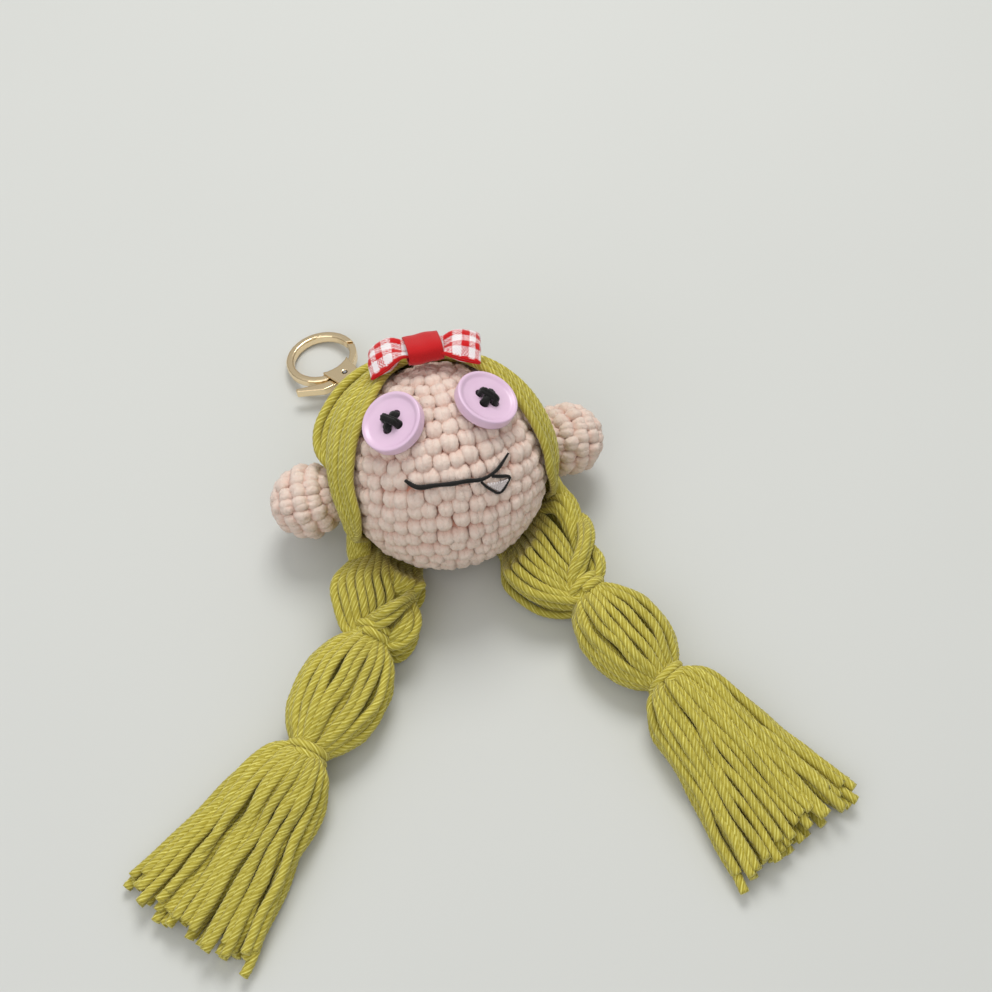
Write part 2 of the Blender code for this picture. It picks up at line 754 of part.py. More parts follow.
def build_mouth(head):
    lift = HEAD_RADIUS + SEAT_GAP + MOUTH_THREAD_RADIUS
    stations = [heading(tilt, bearing) for tilt, bearing in MOUTH_STATIONS]
    points = [p.normalized() * lift for p in smooth_path(stations, MOUTH_POINTS)]
    thread("mouth_thread", points, MOUTH_THREAD_RADIUS, head, BLACK, 0.8)
    lift = HEAD_RADIUS + SEAT_GAP + TONGUE_THREAD_RADIUS
    stations = [heading(tilt, bearing) for tilt, bearing in TONGUE_STATIONS]
    points = [p.normalized() * lift for p in smooth_path(stations, TONGUE_POINTS)]
    thread("tongue_outline_thread", points, TONGUE_THREAD_RADIUS, head, BLACK, 0.8)
    frame = surface_frame("tongue_frame", head, *TONGUE_FILL_STATION, HEAD_RADIUS + SEAT_GAP)
    outline = ring(
        Vector(), Vector((TONGUE_FILL_RADIUS, 0, 0)), Vector((0, TONGUE_FILL_RADIUS, 0)), TONGUE_FILL_SIDES
    )
    fill = polygon_plate("tongue_fill", [(p.x, p.y) for p in outline], 0, TONGUE_FILL_THICKNESS)
    piece("tongue_fill", fill, frame, FIBRE_WHITE, 0.9)


# Bow


def rounded(value):
    """A cosine or sine, pushed out towards the side of a rounded square."""
    return abs(value) ** BOW_BAND_ROUNDNESS * (1 if value > 0 else -1)


def band_section(x, half_width, half_height):
    turns = [2 * pi * (step + 0.5) / BOW_BAND_SIDES for step in range(BOW_BAND_SIDES)]
    return [Vector((x, half_width * rounded(cos(t)), half_height * rounded(sin(t)))) for t in turns]


def build_bow(head):
    frame = frame_at("bow_frame", heading(BOW_TILT, BOW_BEARING) * (HEAD_RADIUS + BOW_STANDOFF), head)
    face = Matrix.Rotation(-radians(BOW_FACE_TILT), 3, "X") @ Matrix.Rotation(radians(BOW_TURN), 3, "Z")
    frame.rotation_euler = face.to_euler()
    half, wide, high = BOW_BAND_LENGTH / 2, BOW_BAND_WIDTH / 2, BOW_BAND_HEIGHT / 2
    wall = BOW_BAND_WALL
    sections = [
        band_section(-half, wide - wall / 2, high - wall / 2), band_section(-half / 2, wide, high),
        band_section(half / 2, wide, high), band_section(half, wide - wall / 2, high - wall / 2),
        band_section(half, wide - wall - wall / 2, high - wall - wall / 2),
        band_section(-half, wide - wall - wall / 2, high - wall - wall / 2),
    ]
    piece("bow_band", lofted("bow_band", sections, closed=True), frame, RIBBON_RED, 0.7)
    for word, side in (("left", -1), ("right", 1)):
        build_bow_loop(frame, word, side)


def bow_neck_end():
    """Where the ribbon starts to spread, past the edge of the band."""
    return BOW_BAND_LENGTH / 2 + BOW_NECK_LENGTH


def loop_outline(inset):
    """Side view of a ribbon loop, x from the band outwards and z up, round its closed outline."""
    root, end = BOW_ROOT_GAP / 2, BOW_BAND_LENGTH / 2 + BOW_LOOP_LENGTH
    points = []
    for step in range(BOW_LOOP_POINTS):
        turn = 2 * pi * step / BOW_LOOP_POINTS
        share = (1 - cos(turn)) / 2
        x = root + inset + (end - root - 2 * inset) * share
        swell = abs(sin(turn)) ** BOW_LOOP_ROUNDNESS
        beyond = min(max((x - bow_neck_end()) / BOW_LOOP_LENGTH, 0) / BOW_PUFF_SHARE, 1)
        body = BOW_LOOP_ROOT_HEIGHT + (BOW_LOOP_HEIGHT - BOW_LOOP_ROOT_HEIGHT) * sin(beyond * pi / 2)
        z = (body / 2 - inset) * swell * (1 if sin(turn) > 0 else -1)
        points.append((x, z))
    return points


def build_bow_loop(frame, word, side):
    """A loop of ribbon: the outline of its side view, as wide as the ribbon, hollow through its width."""
    end = BOW_BAND_LENGTH / 2 + BOW_LOOP_LENGTH
    drop = radians(BOW_LOOP_DROPS[word])
    bend = BOW_BAND_LENGTH / 2

    def placed(x, y, z):
        beyond = max(x - bend, 0)
        lean = drop * min(beyond / BOW_LOOP_LENGTH * 2, 1)
        out = min(x, bend) + beyond * cos(lean) + z * sin(lean)
        return Vector((side * out, y, z * cos(lean) - beyond * sin(lean)))

    def half_width(x):
        flare = min(max((x - bow_neck_end()) / (end - bow_neck_end()), 0), 1)
        return (BOW_LOOP_ROOT_WIDTH + (BOW_LOOP_END_WIDTH - BOW_LOOP_ROOT_WIDTH) * flare ** 0.5) / 2

    outer, inner = loop_outline(0), loop_outline(BOW_LOOP_WALL)
    sections = [
        [placed(x, -half_width(x), z) for x, z in outer], [placed(x, half_width(x), z) for x, z in outer],
        [placed(x, half_width(x), z) for x, z in inner], [placed(x, -half_width(x), z) for x, z in inner],
    ]
    name = f"bow_{word}_loop"
    piece(name, lofted(name, sections, closed=True), frame, GINGHAM, 0.8)


# Pigtails


def tie_half_length():
    return (TIE_TURNS * tie_pitch()) / 2 + TIE_YARN_RADIUS


def tie_pitch():
    return 2 * TIE_YARN_RADIUS + TURN_GAP


def tie_radius():
    facet = 1 - cos(pi / TIE_LOOP_POINTS)
    return (NECK_RADIUS + SEAT_GAP + TIE_YARN_RADIUS) * (1 + facet)


def build_tie(name, frame, length, lean=0):
    """Yarn wound round the strands in one unbroken run, turned in line with the piece below it."""
    count = ceil(TIE_TURNS * TIE_LOOP_POINTS)
    radius, pitch = tie_radius(), tie_pitch()
    points = []
    for step in range(count + 1):
        turn = 2 * pi * TIE_TURNS * step / count
        along = pitch * TIE_TURNS * (step / count - 1 / 2)
        place = Vector((along, radius * cos(turn), radius * sin(turn)))
        points.append(Vector((length, 0, 0)) + Matrix.Rotation(radians(lean), 3, "Z") @ place)
    thread(name, points, TIE_YARN_RADIUS, frame, OLIVE_GREEN, 0.9)
    loop = TIE_LOOP_POINTS
    gap = min((points[i + loop] - points[i]).length for i in range(len(points) - loop)) - 2 * TIE_YARN_RADIUS
    print(f"{name}: least gap between turns {gap * 1000:.2f} mm")


def plait_envelope(share):
    """Share of its full thickness that the plait has at a share of its length."""
    start, end = PLAIT_FULL_SHARES
    if share < start:
        rise = sin(pi / 2 * share / start)
        return PLAIT_ROOT_SHARE + (1 - PLAIT_ROOT_SHARE) * rise
    if share > end:
        fall = cos(pi / 2 * (share - end) / (1 - end))
        return PLAIT_TIE_SHARE + (1 - PLAIT_TIE_SHARE) * fall
    return 1.0


def plait_path(word, length):
    """Middle of the plait in its own frame: it leaves the head and bends into line with the bulb."""
    leave = radians(PLAIT_START_COURSE[word] - PLAIT_COURSE[word])
    arrive = radians(BULB_COURSE[word] - PLAIT_COURSE[word])
    first, last = PLAIT_BEND_SHARES
    end = Vector((length, 0, 0)) - Vector((cos(arrive), sin(arrive), 0)) * (tie_half_length() + SEAT_GAP)
    start = Vector((cos(leave), sin(leave), 0)) * (PLAIT_GATHER_RADIUS + SEAT_GAP)
    one = start + Vector((cos(leave), sin(leave), 0)) * (length * first)
    two = end - Vector((cos(arrive), sin(arrive), 0)) * (length * last)
    points, axes = [], []
    for step in range(PLAIT_SECTIONS):
        t = step / (PLAIT_SECTIONS - 1)
        s = 1 - t
        points.append(start * s ** 3 + one * (3 * t * s ** 2) + two * (3 * t * t * s) + end * t ** 3)
        axes.append(((one - start) * s ** 2 + (two - one) * (2 * t * s) + (end - two) * t ** 2).normalized())
    return points, axes


def head_room(word, frame):
    """The head with its clearance, where the plait meets it at the end of its swing towards the head."""
    name, radius = word + "_head_room", HEAD_RADIUS + SEAT_GAP + HAIR_FACET_ROOM
    form = filled_ball(name, cover_axis(), radius, radius, BALL_SIDES, BALL_RINGS, COVER_HOLE_RADIUS, -radius)
    swing = PLAIT_INWARD_SWING if word == "right" else -PLAIT_INWARD_SWING
    back = Matrix.Rotation(radians(swing - PLAIT_COURSE[word]), 3, "Z")
    made = helper(name, form, frame)
    made.location = back @ (Vector((0, 0, HEAD_HEIGHT)) - plait_root(word))
    return made


def build_plait(word, frame, length):
    """Three bundles of strands that cross over and under each other, pressed flat by the head."""
    name = word + "_plait_gather"
    piece(name, gather_ball(name, PLAIT_GATHER_RADIUS), frame, OLIVE_GREEN, 0.9)
    path, axes = plait_path(word, length)
    last = len(path) - 1
    room = head_room(word, frame)
    for bundle in range(PLAIT_BUNDLES):
        sections = []
        for step, centre in enumerate(path):
            share = step / last
            aside, up = Vector((-axes[step].y, axes[step].x, 0)), Vector((0, 0, 1))
            turn = 2 * pi * (PLAIT_CROSSINGS[word] * share + bundle / PLAIT_BUNDLES)
            turn += radians(PLAIT_START_PHASE[word])
            size = plait_envelope(share)
            spread, lift = PLAIT_SPREAD * size * sin(turn), PLAIT_LIFT * size * sin(2 * turn)
            middle = centre + aside * spread + up * lift
            radius = PLAIT_BUNDLE_RADIUS * size - SEAT_GAP / 2
            sections.append(ring(middle, aside * radius, up * radius, PLAIT_SIDES))
        name = f"{word}_plait_bundle_{bundle + 1}"
        cut(piece(name, lofted(name, sections), frame, OLIVE_GREEN, 0.9), room)


def fluted_ring(along, half_width, low, high, sides, uneven=0.0):
    """A section across a pigtail: an ellipse between two heights, with shallow flutes."""
    middle, half_height = (low + high) / 2, (high - low) / 2
    points = []
    for step in range(sides):
        turn = 2 * pi * step / sides
        flute = 1 + FLUTE_SHARE * (1 if step % 2 else -1)
        shift = uneven * sin(TASSEL_UNEVEN_WAVES * turn) * TASSEL_UNEVEN_SHARES[step % 2]
        across_y, across_z = half_width * flute * cos(turn), half_height * flute * sin(turn)
        points.append(Vector((along + shift, across_y, middle + across_z)))
    return points


def neck_sections(sides):
    """The strands inside a tie: a ball that turns in it, and the stem below."""
    cut_radius = sqrt(NECK_RADIUS ** 2 - NECK_CUT ** 2)
    stem_end = tie_half_length()
    stations = (
        (-NECK_CUT, cut_radius), (0, NECK_RADIUS), (NECK_CUT, cut_radius), (stem_end, NECK_STEM_RADIUS),
    )
    sections = [[Vector((-NECK_CUT, 0, 0))]]
    for along, radius in stations:
        sections.append(ring(Vector((along, 0, 0)), Vector((0, radius, 0)), Vector((0, 0, radius)), sides))
    return sections


def shoulder_start(radius):
    """Nearest place to a tie where a shoulder of this radius still clears it at the end of its swing."""
    lean = radians(SWING_LIMIT + SWING_MARGIN)
    return (tie_half_length() + SEAT_GAP + radius * (1 + FLUTE_SHARE) * sin(lean)) / cos(lean)


def above_table(sections, slope, lift):
    """Presses the sections flat on the table, for a frame that falls by the slope per unit length."""
    pressed = []
    for section in sections:
        pressed.append([Vector((p.x, p.y, max(p.z, -lift + slope * p.x))) for p in section])
    return pressed


def build_bulb(word, frame, length, fall):
    """The loose puff of strands between two ties, in a frame along the line between them."""
    start = shoulder_start(BULB_HALF_WIDTH * BULB_SHOULDER_SHARES[0][1])
    end = length - tie_half_length() - SEAT_GAP
    sections = neck_sections(BULB_SIDES)
    for along_share, width_share in BULB_SHOULDER_SHARES:
        along = start + (end - start) * along_share
        half_width, half_height = BULB_HALF_WIDTH * width_share, BULB_HALF_HEIGHT * width_share
        sections.append(fluted_ring(along, half_width, -half_height, half_height, BULB_SIDES))
    sections.append(fluted_ring(end, BULB_END_RADIUS, -BULB_END_RADIUS, BULB_END_RADIUS, BULB_SIDES))
    slope = tan(fall)
    sections = above_table(sections, slope, PLAIT_HEIGHT / cos(fall))
    name = word + "_bulb"
    piece(name, lofted(name, sections), frame, OLIVE_GREEN, 0.9)


def build_tassel(word, frame):
    """The loose cut ends below the second tie, spread flat on the table."""
    length = TASSEL_LENGTH[word]
    sections = neck_sections(TASSEL_SIDES)
    start = shoulder_start(TASSEL_SHOULDER_RADIUS)
    radius = TASSEL_SHOULDER_RADIUS
    low = -SECOND_TIE_HEIGHT
    sections.append(fluted_ring(start, radius, -radius, radius, TASSEL_SIDES))
    for along_share, width_share, top_share in TASSEL_SHARES:
        along = start + (length - start) * along_share
        half_width = radius + (TASSEL_END_HALF_WIDTH - radius) * width_share
        top = low + TASSEL_END_HEIGHT + (TASSEL_TOP_HEIGHT - TASSEL_END_HEIGHT) * top_share
        uneven = TASSEL_UNEVEN if along_share == 1.0 else 0.0
        sections.append(fluted_ring(along, half_width, low, top, TASSEL_SIDES, uneven))
    sections.append([Vector((length - TASSEL_UNEVEN, 0, low + TASSEL_END_HEIGHT / 2))])
    sections = above_table(sections, 0, SECOND_TIE_HEIGHT)
    name = word + "_tassel"
    piece(name, lofted(name, sections), frame, OLIVE_GREEN, 0.9)


def build_pigtail(word):
    """Plait, bulb and tassel, each in a frame at the place where it swings."""
    root = plait_root(word)
    course = radians(PLAIT_COURSE[word])
    length = PLAIT_LENGTH[word]
    plait = frame_at(word + "_plait_frame", root, None, (0, 0, course))
    build_plait(word, plait, length)
    build_tie(word + "_first_tie", plait, length, BULB_COURSE[word] - PLAIT_COURSE[word])

    first_tie = root + Vector((cos(course), sin(course), 0)) * length
    fall = asin((PLAIT_HEIGHT - SECOND_TIE_HEIGHT) / BULB_LENGTH[word])
    course = radians(BULB_COURSE[word])
    length = BULB_LENGTH[word]
    bulb = frame_at(word + "_bulb_frame", first_tie, None, (0, fall, course))
    build_bulb(word, bulb, length, fall)
    build_tie(word + "_second_tie", bulb, length)

    along = Vector((cos(course) * cos(fall), sin(course) * cos(fall), -sin(fall)))
    second_tie = first_tie + along * length
    tassel = frame_at(word + "_tassel_frame", second_tie, None, (0, 0, radians(TASSEL_COURSE[word])))
    build_tassel(word, tassel)
    for joint, place in (("plait", root), ("bulb", first_tie), ("tassel", second_tie)):
        print(f"{word}_{joint}_swing at", [round(value, 5) for value in place])


# Clasp


def clasp_turn():
    """Rotation that takes the clasp's own X to its course, dropping towards the table."""
    return Matrix.Rotation(radians(90 + CLASP_COURSE), 3, "Z") @ Matrix.Rotation(radians(CLASP_DROP), 3, "Y")


def loop_way():
    """Level direction from the head to the clasp, where the hanging loop bends round the wire."""
    forward = clasp_turn() @ Vector((1, 0, 0))
    return Vector((forward.x, forward.y, 0)).normalized()


def loop_bend_radius():
    return LOOP_YARN_RADIUS + EYE_WIRE_RADIUS + LOOP_ROOM


def loop_course():
    """Middle of the hanging loop's two legs, from inside the head to the wire of the swivel eye."""
    wire = Vector(CLASP_PLACE) - Vector((0, 0, HEAD_HEIGHT))
    out = cover_axis()
    start, outside = out * (HEAD_RADIUS - COVER_WALL), out * (HEAD_RADIUS + HAIR_THICKNESS + CUT_OVERRUN)
    back = wire - loop_way() * loop_bend_radius()
    return smooth_path([start, outside, back, wire], LOOP_SIDES_POINTS)


def build_hanging_loop(head):
    """A loop of yarn out of the head's closing hole, round the wire of the swivel eye and back."""
    path, flat, bend_radius = loop_course(), loop_way(), loop_bend_radius()
    wire = path[-1]
    up = Vector((0, 0, 1))
    upper, lower = [], []
    for index, point in enumerate(path[:-1]):
        share = min(index / (len(path) - 2), 1)
        axis = (path[index + 1] - path[max(index - 1, 0)]).normalized()
        lift = (up - axis * up.dot(axis)).normalized()
        spread = LOOP_LEG_SPACING + (2 * bend_radius - LOOP_LEG_SPACING) * share
        upper.append(point + lift * (spread / 2))
        lower.append(point - lift * (spread / 2))
    turns = [pi / 2 - pi * step / (LOOP_BEND_POINTS - 1) for step in range(LOOP_BEND_POINTS)]
    around = [wire + (flat * cos(turn) + up * sin(turn)) * bend_radius for turn in turns]
    thread("hanging_loop", upper + around + lower[::-1], LOOP_YARN_RADIUS, head, PALE_PINK, 0.9)


def build_swivel_eye(frame):
    """The ring that the hanging loop passes through, and its headed stem."""
    centre = Vector((EYE_RING_RADIUS, 0, 0))
    wire = EYE_WIRE_RADIUS
    sections = []
    for step in range(EYE_RING_POINTS):
        turn = 2 * pi * step / EYE_RING_POINTS
        out = Vector((cos(turn), sin(turn), 0))
        sections.append(ring(centre + out * EYE_RING_RADIUS, out * wire, Vector((0, 0, wire)), EYE_WIRE_SIDES))
    made = piece("swivel_eye", lofted("swivel_eye", sections, closed=True), frame, GOLD, 0.25, 1.0)
    start = 2 * EYE_RING_RADIUS
    collar_end = collar_start() + COLLAR_LENGTH
    head_start = collar_end + SEAT_GAP
    stations = (
        (start, STEM_RADIUS), (head_start, STEM_RADIUS), (head_start, STEM_HEAD_RADIUS),
        (head_start + STEM_HEAD_LENGTH, STEM_HEAD_RADIUS),
    )
    stem = [ring(Vector((x, 0, 0)), Vector((0, r, 0)), Vector((0, 0, r)), STEM_SIDES) for x, r in stations]
    cut(made, helper("swivel_stem", lofted("swivel_stem", stem), frame), "UNION")


def collar_start():
    return 2 * EYE_RING_RADIUS + EYE_WIRE_RADIUS + SEAT_GAP


def slot_start():
    return collar_start() + COLLAR_LENGTH + STEM_HEAD_LENGTH + 2 * SEAT_GAP


def ring_distance():
    """How far the middle of the ring is from the swivel."""
    return RING_START + RING_OUTER_RADIUS


def gate_reach():
    """How far the tip of the gate is from its pivot."""
    return RING_OUTER_RADIUS * GATE_REACH_SHARE


def ring_band(name, start, end, steps, inner, outer, thickness):
    """Part of a flat ring round the ring's centre, with narrow bevelled edges."""
    centre = Vector((ring_distance(), 0, 0))
    half, edge = thickness / 2, RING_EDGE
    outline = (
        (inner, -half + edge), (inner + edge, -half), (outer - edge, -half), (outer, -half + edge),
        (outer, half - edge), (outer - edge, half), (inner + edge, half), (inner, half - edge),
    )
    sections = []
    for step in range(steps + 1):
        turn = radians(start + (end - start) * step / steps)
        out = Vector((cos(turn), sin(turn), 0))
        sections.append([centre + out * reach + Vector((0, 0, height)) for reach, height in outline])
    return lofted(name, sections)


def case_outline():
    """Plan of the case between the collar and the ring."""
    start = collar_start() + COLLAR_LENGTH / 2
    end = start + CASE_LENGTH
    wide, narrow = CASE_HALF_WIDTH, COLLAR_RADIUS
    shoulder = wide * CASE_SHOULDER_SHARE
    return (
        (start, -narrow), (start + narrow, -shoulder), (end, -wide), (end, wide), (start + narrow, shoulder),
        (start, narrow),
    )


def slot_outline():
    """Plan of the slot for the lever: open to both sides and, below the spine, to the ring's opening."""
    low, wide = slot_start(), CASE_HALF_WIDTH + CUT_OVERRUN
    high = RING_START + 2 * RING_BAND
    spine = spine_start()
    pocket = STEM_HEAD_RADIUS + SEAT_GAP
    return (
        (low, -wide), (high, -wide), (high, SPINE_EDGE), (spine, SPINE_EDGE), (spine, wide),
        (low - SLOT_FLARE, wide), (low, pocket),
    )


def spine_start():
    """Where the solid root of the hook starts, in front of the lever's hub."""
    return LEVER_PIVOT_PLACE[0] + LEVER_HUB_RADIUS + SEAT_GAP


def upright_hole(name, frame, centre, radius, sides, half):
    x, y = centre
    outline = ring(Vector((x, y, 0)), Vector((radius, 0, 0)), Vector((0, radius, 0)), sides)
    return helper(name, polygon_plate(name, [(p.x, p.y) for p in outline], -half, half), frame)


def build_hook(frame):
    """The ring-shaped hook, cut short where the tip of the gate swings past it."""
    inner = RING_OUTER_RADIUS - RING_BAND
    start, end = HOOK_END_ANGLES
    form = ring_band("hook_ring", start, end, HOOK_STEPS, inner, RING_OUTER_RADIUS, RING_THICKNESS)
    hook = helper("hook_ring", form, frame)
    low, wide, half = slot_start(), CASE_HALF_WIDTH + CUT_OVERRUN, SLOT_HEIGHT / 2
    spine = spine_start()
    corners = ((low, -wide), (spine, -wide), (spine, wide), (low, wide))
    cut(hook, helper("lever_room", polygon_plate("lever_room", corners, -half, half), frame))
    px, py = LEVER_PIVOT_PLACE
    reach = gate_reach() + SEAT_GAP
    first, last = MOUTH_ANGLES
    outline = [(px, py)]
    for step in range(GATE_STEPS + 1):
        turn = radians(first + (last - first) * step / GATE_STEPS)
        outline.append((px + reach * cos(turn), py + reach * sin(turn)))
    cut(hook, helper("hook_mouth", polygon_plate("hook_mouth", outline, -half, half), frame))
    return hook


def build_clasp_body(frame):
    """Casting with a collar for the stem, a slotted case for the lever and the ring-shaped hook."""
    half = CASE_THICKNESS / 2
    case = polygon_plate("clasp_body", case_outline(), -half, half)
    body = piece("clasp_body", case, frame, GOLD, 0.25, 1.0)

    start, end = collar_start(), collar_start() + COLLAR_LENGTH
    stations = ((start, COLLAR_RADIUS), (end + COLLAR_RADIUS, COLLAR_RADIUS))
    collar = [ring(Vector((x, 0, 0)), Vector((0, r, 0)), Vector((0, 0, r)), STEM_SIDES) for x, r in stations]
    cut(body, helper("clasp_collar", lofted("clasp_collar", collar), frame), "UNION")

    inner = RING_OUTER_RADIUS - RING_BAND
    cut(body, upright_hole("ring_opening", frame, (ring_distance(), 0), inner, 2 * HOOK_STEPS, CASE_THICKNESS))
    slot = polygon_plate("lever_slot", slot_outline(), -SLOT_HEIGHT / 2, SLOT_HEIGHT / 2)
    cut(body, helper("lever_slot", slot, frame))
    cut(body, build_hook(frame), "UNION")

    bore, pocket = STEM_RADIUS + SEAT_GAP, STEM_HEAD_RADIUS + SEAT_GAP
    stations = ((start - CUT_OVERRUN, bore), (end, bore), (end, pocket), (slot_start() + CUT_OVERRUN, pocket))
    path = [ring(Vector((x, 0, 0)), Vector((0, r, 0)), Vector((0, 0, r)), STEM_SIDES) for x, r in stations]
    cut(body, helper("stem_bore", lofted("stem_bore", path), frame))
    room = PIN_RADIUS + SEAT_GAP
    cut(body, upright_hole("pin_hole", frame, LEVER_PIVOT_PLACE, room, PIN_SIDES, CASE_THICKNESS))


def band_turn(radius):
    """The angle on the ring, at a radius from its centre, that the tip of the gate reaches from its pivot."""
    px, py = LEVER_PIVOT_PLACE
    apart = sqrt((ring_distance() - px) ** 2 + py ** 2)
    between = acos((apart ** 2 + radius ** 2 - gate_reach() ** 2) / (2 * apart * radius))
    return between - pi + asin(py / apart)


def lever_outline():
    """Plan of the lever round its pivot: the gate that closes the ring and the thumb trigger."""
    px, py = LEVER_PIVOT_PLACE
    middle = RING_OUTER_RADIUS - RING_BAND / 2
    root = radians(GATE_ROOT_ANGLE)
    points = []
    for radius, outward in ((middle + GATE_WIDTH / 2, True), (middle - GATE_WIDTH / 2, False)):
        tip = band_turn(radius)
        for step in range(GATE_STEPS + 1):
            share = step / GATE_STEPS if outward else 1 - step / GATE_STEPS
            turn = root + (tip - root) * share
            points.append((ring_distance() + radius * cos(turn), radius * sin(turn)))
    half, hub = TRIGGER_WIDTH / 2, LEVER_HUB_RADIUS
    ex, ey = TRIGGER_ELBOW
    tx, ty = TRIGGER_TIP
    points += [(px + hub * cos(radians(turn)), py + hub * sin(radians(turn))) for turn in HUB_TURNS]
    points += [(ex + half, ey - half), (tx + half / 2, ty)]
    points += [(tx - half / 2, ty + half / 2), (ex - half, ey + half / 2)]
    points += [(px + hub * cos(radians(turn)), py + hub * sin(radians(turn))) for turn in HUB_BACK_TURNS]
    return points


def build_gate(frame):
    """The lever, its pin and the spring round the pin."""
    px, py = LEVER_PIVOT_PLACE
    pivot = frame_at("gate_frame", (px, py, 0), frame)
    half = LEVER_THICKNESS / 2
    outline = [(x - px, y - py) for x, y in lever_outline()]
    lever = piece("gate_lever", polygon_plate("gate_lever", outline, -half, half), pivot, GOLD, 0.25, 1.0)
    pocket = SPRING_POCKET_RADIUS
    stations = ((-half - CUT_OVERRUN, PIN_RADIUS + SEAT_GAP), (-half + HUB_FLOOR, PIN_RADIUS + SEAT_GAP),
                (-half + HUB_FLOOR, pocket), (half + CUT_OVERRUN, pocket))
    hollow = [ring(Vector((0, 0, z)), Vector((r, 0, 0)), Vector((0, r, 0)), PIN_SIDES + 2) for z, r in stations]
    cut(lever, helper("hub_hollow", lofted("hub_hollow", hollow), pivot))

    across_x, across_y = Vector((PIN_RADIUS, 0, 0)), Vector((0, PIN_RADIUS, 0))
    ends = (-CASE_THICKNESS / 2, CASE_THICKNESS / 2)
    round_pin = [ring(Vector((0, 0, z)), across_x, across_y, PIN_SIDES) for z in ends]
    piece("gate_pin", lofted("gate_pin", round_pin), pivot, STEEL, 0.3, 1.0)

    pitch = 2 * SPRING_WIRE_RADIUS + TURN_GAP
    count = ceil(SPRING_TURNS * SPRING_TURN_POINTS)
    floor = -half + HUB_FLOOR + SEAT_GAP + SPRING_WIRE_RADIUS
    points = []
    for step in range(count + 1):
        turns = SPRING_TURNS * step / count
        turn = 2 * pi * turns
        points.append(Vector((SPRING_RADIUS * cos(turn), SPRING_RADIUS * sin(turn), floor + pitch * turns)))
    thread("gate_spring", points, SPRING_WIRE_RADIUS, pivot, STEEL, 0.3, 1, 1.0)
    print("gate_hinge at", [round(v, 5) for v in (Vector(CLASP_PLACE) + clasp_turn() @ Vector((px, py, 0)))])
    print("clasp axis", [round(v, 5) for v in clasp_turn() @ Vector((1, 0, 0))])
    print("clasp normal", [round(v, 5) for v in clasp_turn() @ Vector((0, 0, 1))])


def build_clasp():
    frame = frame_at("clasp_frame", CLASP_PLACE)
    frame.rotation_euler = clasp_turn().to_euler()
    build_swivel_eye(frame)
    build_clasp_body(frame)
    build_gate(frame)


def build():
    clear_scene()
    head = frame_at("head_frame", (0, 0, HEAD_HEIGHT))
    build_head(head)
    build_ears(head)
    build_hair(head)
    build_eyes(head)
    build_mouth(head)
    build_bow(head)
    build_hanging_loop(head)
    for word in ("left", "right"):
        build_pigtail(word)
    build_clasp()


build()
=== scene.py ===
"""Yarn doll keychain: the looks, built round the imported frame.

A crocheted doll's head with two pigtails of yarn, hanging from a lobster clasp. The doll lies on its back.
Metres, +Z up, +Y to the crown, +X to the ear on the right of someone who looks at the face.
"""

import json
from math import asin, ceil, cos, pi, radians, sin, sqrt

import bmesh
import bpy
import numpy as np
from bpy.props import FloatProperty, FloatVectorProperty, PointerProperty
from mathutils import Matrix, Vector

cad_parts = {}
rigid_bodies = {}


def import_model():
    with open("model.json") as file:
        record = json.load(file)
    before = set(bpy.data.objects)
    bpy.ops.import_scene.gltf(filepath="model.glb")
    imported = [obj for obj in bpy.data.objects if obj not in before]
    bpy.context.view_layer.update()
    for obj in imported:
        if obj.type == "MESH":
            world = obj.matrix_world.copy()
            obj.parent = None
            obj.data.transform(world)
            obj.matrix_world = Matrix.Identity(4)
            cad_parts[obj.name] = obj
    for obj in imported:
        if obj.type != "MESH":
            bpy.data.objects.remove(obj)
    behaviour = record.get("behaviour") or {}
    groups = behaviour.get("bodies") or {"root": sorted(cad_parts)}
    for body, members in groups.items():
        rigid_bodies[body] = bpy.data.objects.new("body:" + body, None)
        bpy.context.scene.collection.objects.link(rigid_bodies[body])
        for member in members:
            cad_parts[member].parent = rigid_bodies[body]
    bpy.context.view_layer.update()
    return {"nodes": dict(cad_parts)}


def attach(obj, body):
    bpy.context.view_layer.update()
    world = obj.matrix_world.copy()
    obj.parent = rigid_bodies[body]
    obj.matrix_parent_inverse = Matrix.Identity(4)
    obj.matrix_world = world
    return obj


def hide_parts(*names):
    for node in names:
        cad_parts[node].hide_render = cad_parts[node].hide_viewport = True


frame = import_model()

bl_info = {
    "name": "Yarn doll keychain",
    "version": (1, 0, 0),
    "blender": (4, 5, 0),
    "location": "View3D > Sidebar > Yarn doll",
    "description": "Crochet, yarn, ribbon, buttons and clasp of a doll's head keychain",
    "category": "Add Mesh",
}

# Lengths are in metres and angles in degrees. A place on the head is a tilt from straight up and a bearing clockwise
# from the crown. A course is a direction on the table, anticlockwise from +X.

# The head and the ears, as the frame has them, and the stitches of their rounds
HEAD_CENTRE = np.array((0.0, 0.0, 0.026))
HEAD_RADIUS = 0.028
HEAD_POLE = np.array((0.0, 0.60, 0.80))
HEAD_ROUNDS = (6, 10, 16, 22, 27, 31, 35, 38, 40, 42, 42, 40, 38, 35, 31, 27, 22, 16, 10, 6)
COVER_REST_HEIGHT = 0.0025
EAR_DISTANCE = 0.0388
EAR_REACH = 0.0104
EAR_RADIUS = 0.0103
EAR_TILT, EAR_BEARING = 106, 81
EAR_ROUNDS = (5, 10, 14, 15, 14, 10, 5)
LINING_DEPTH_IN_LEGS = 1.5

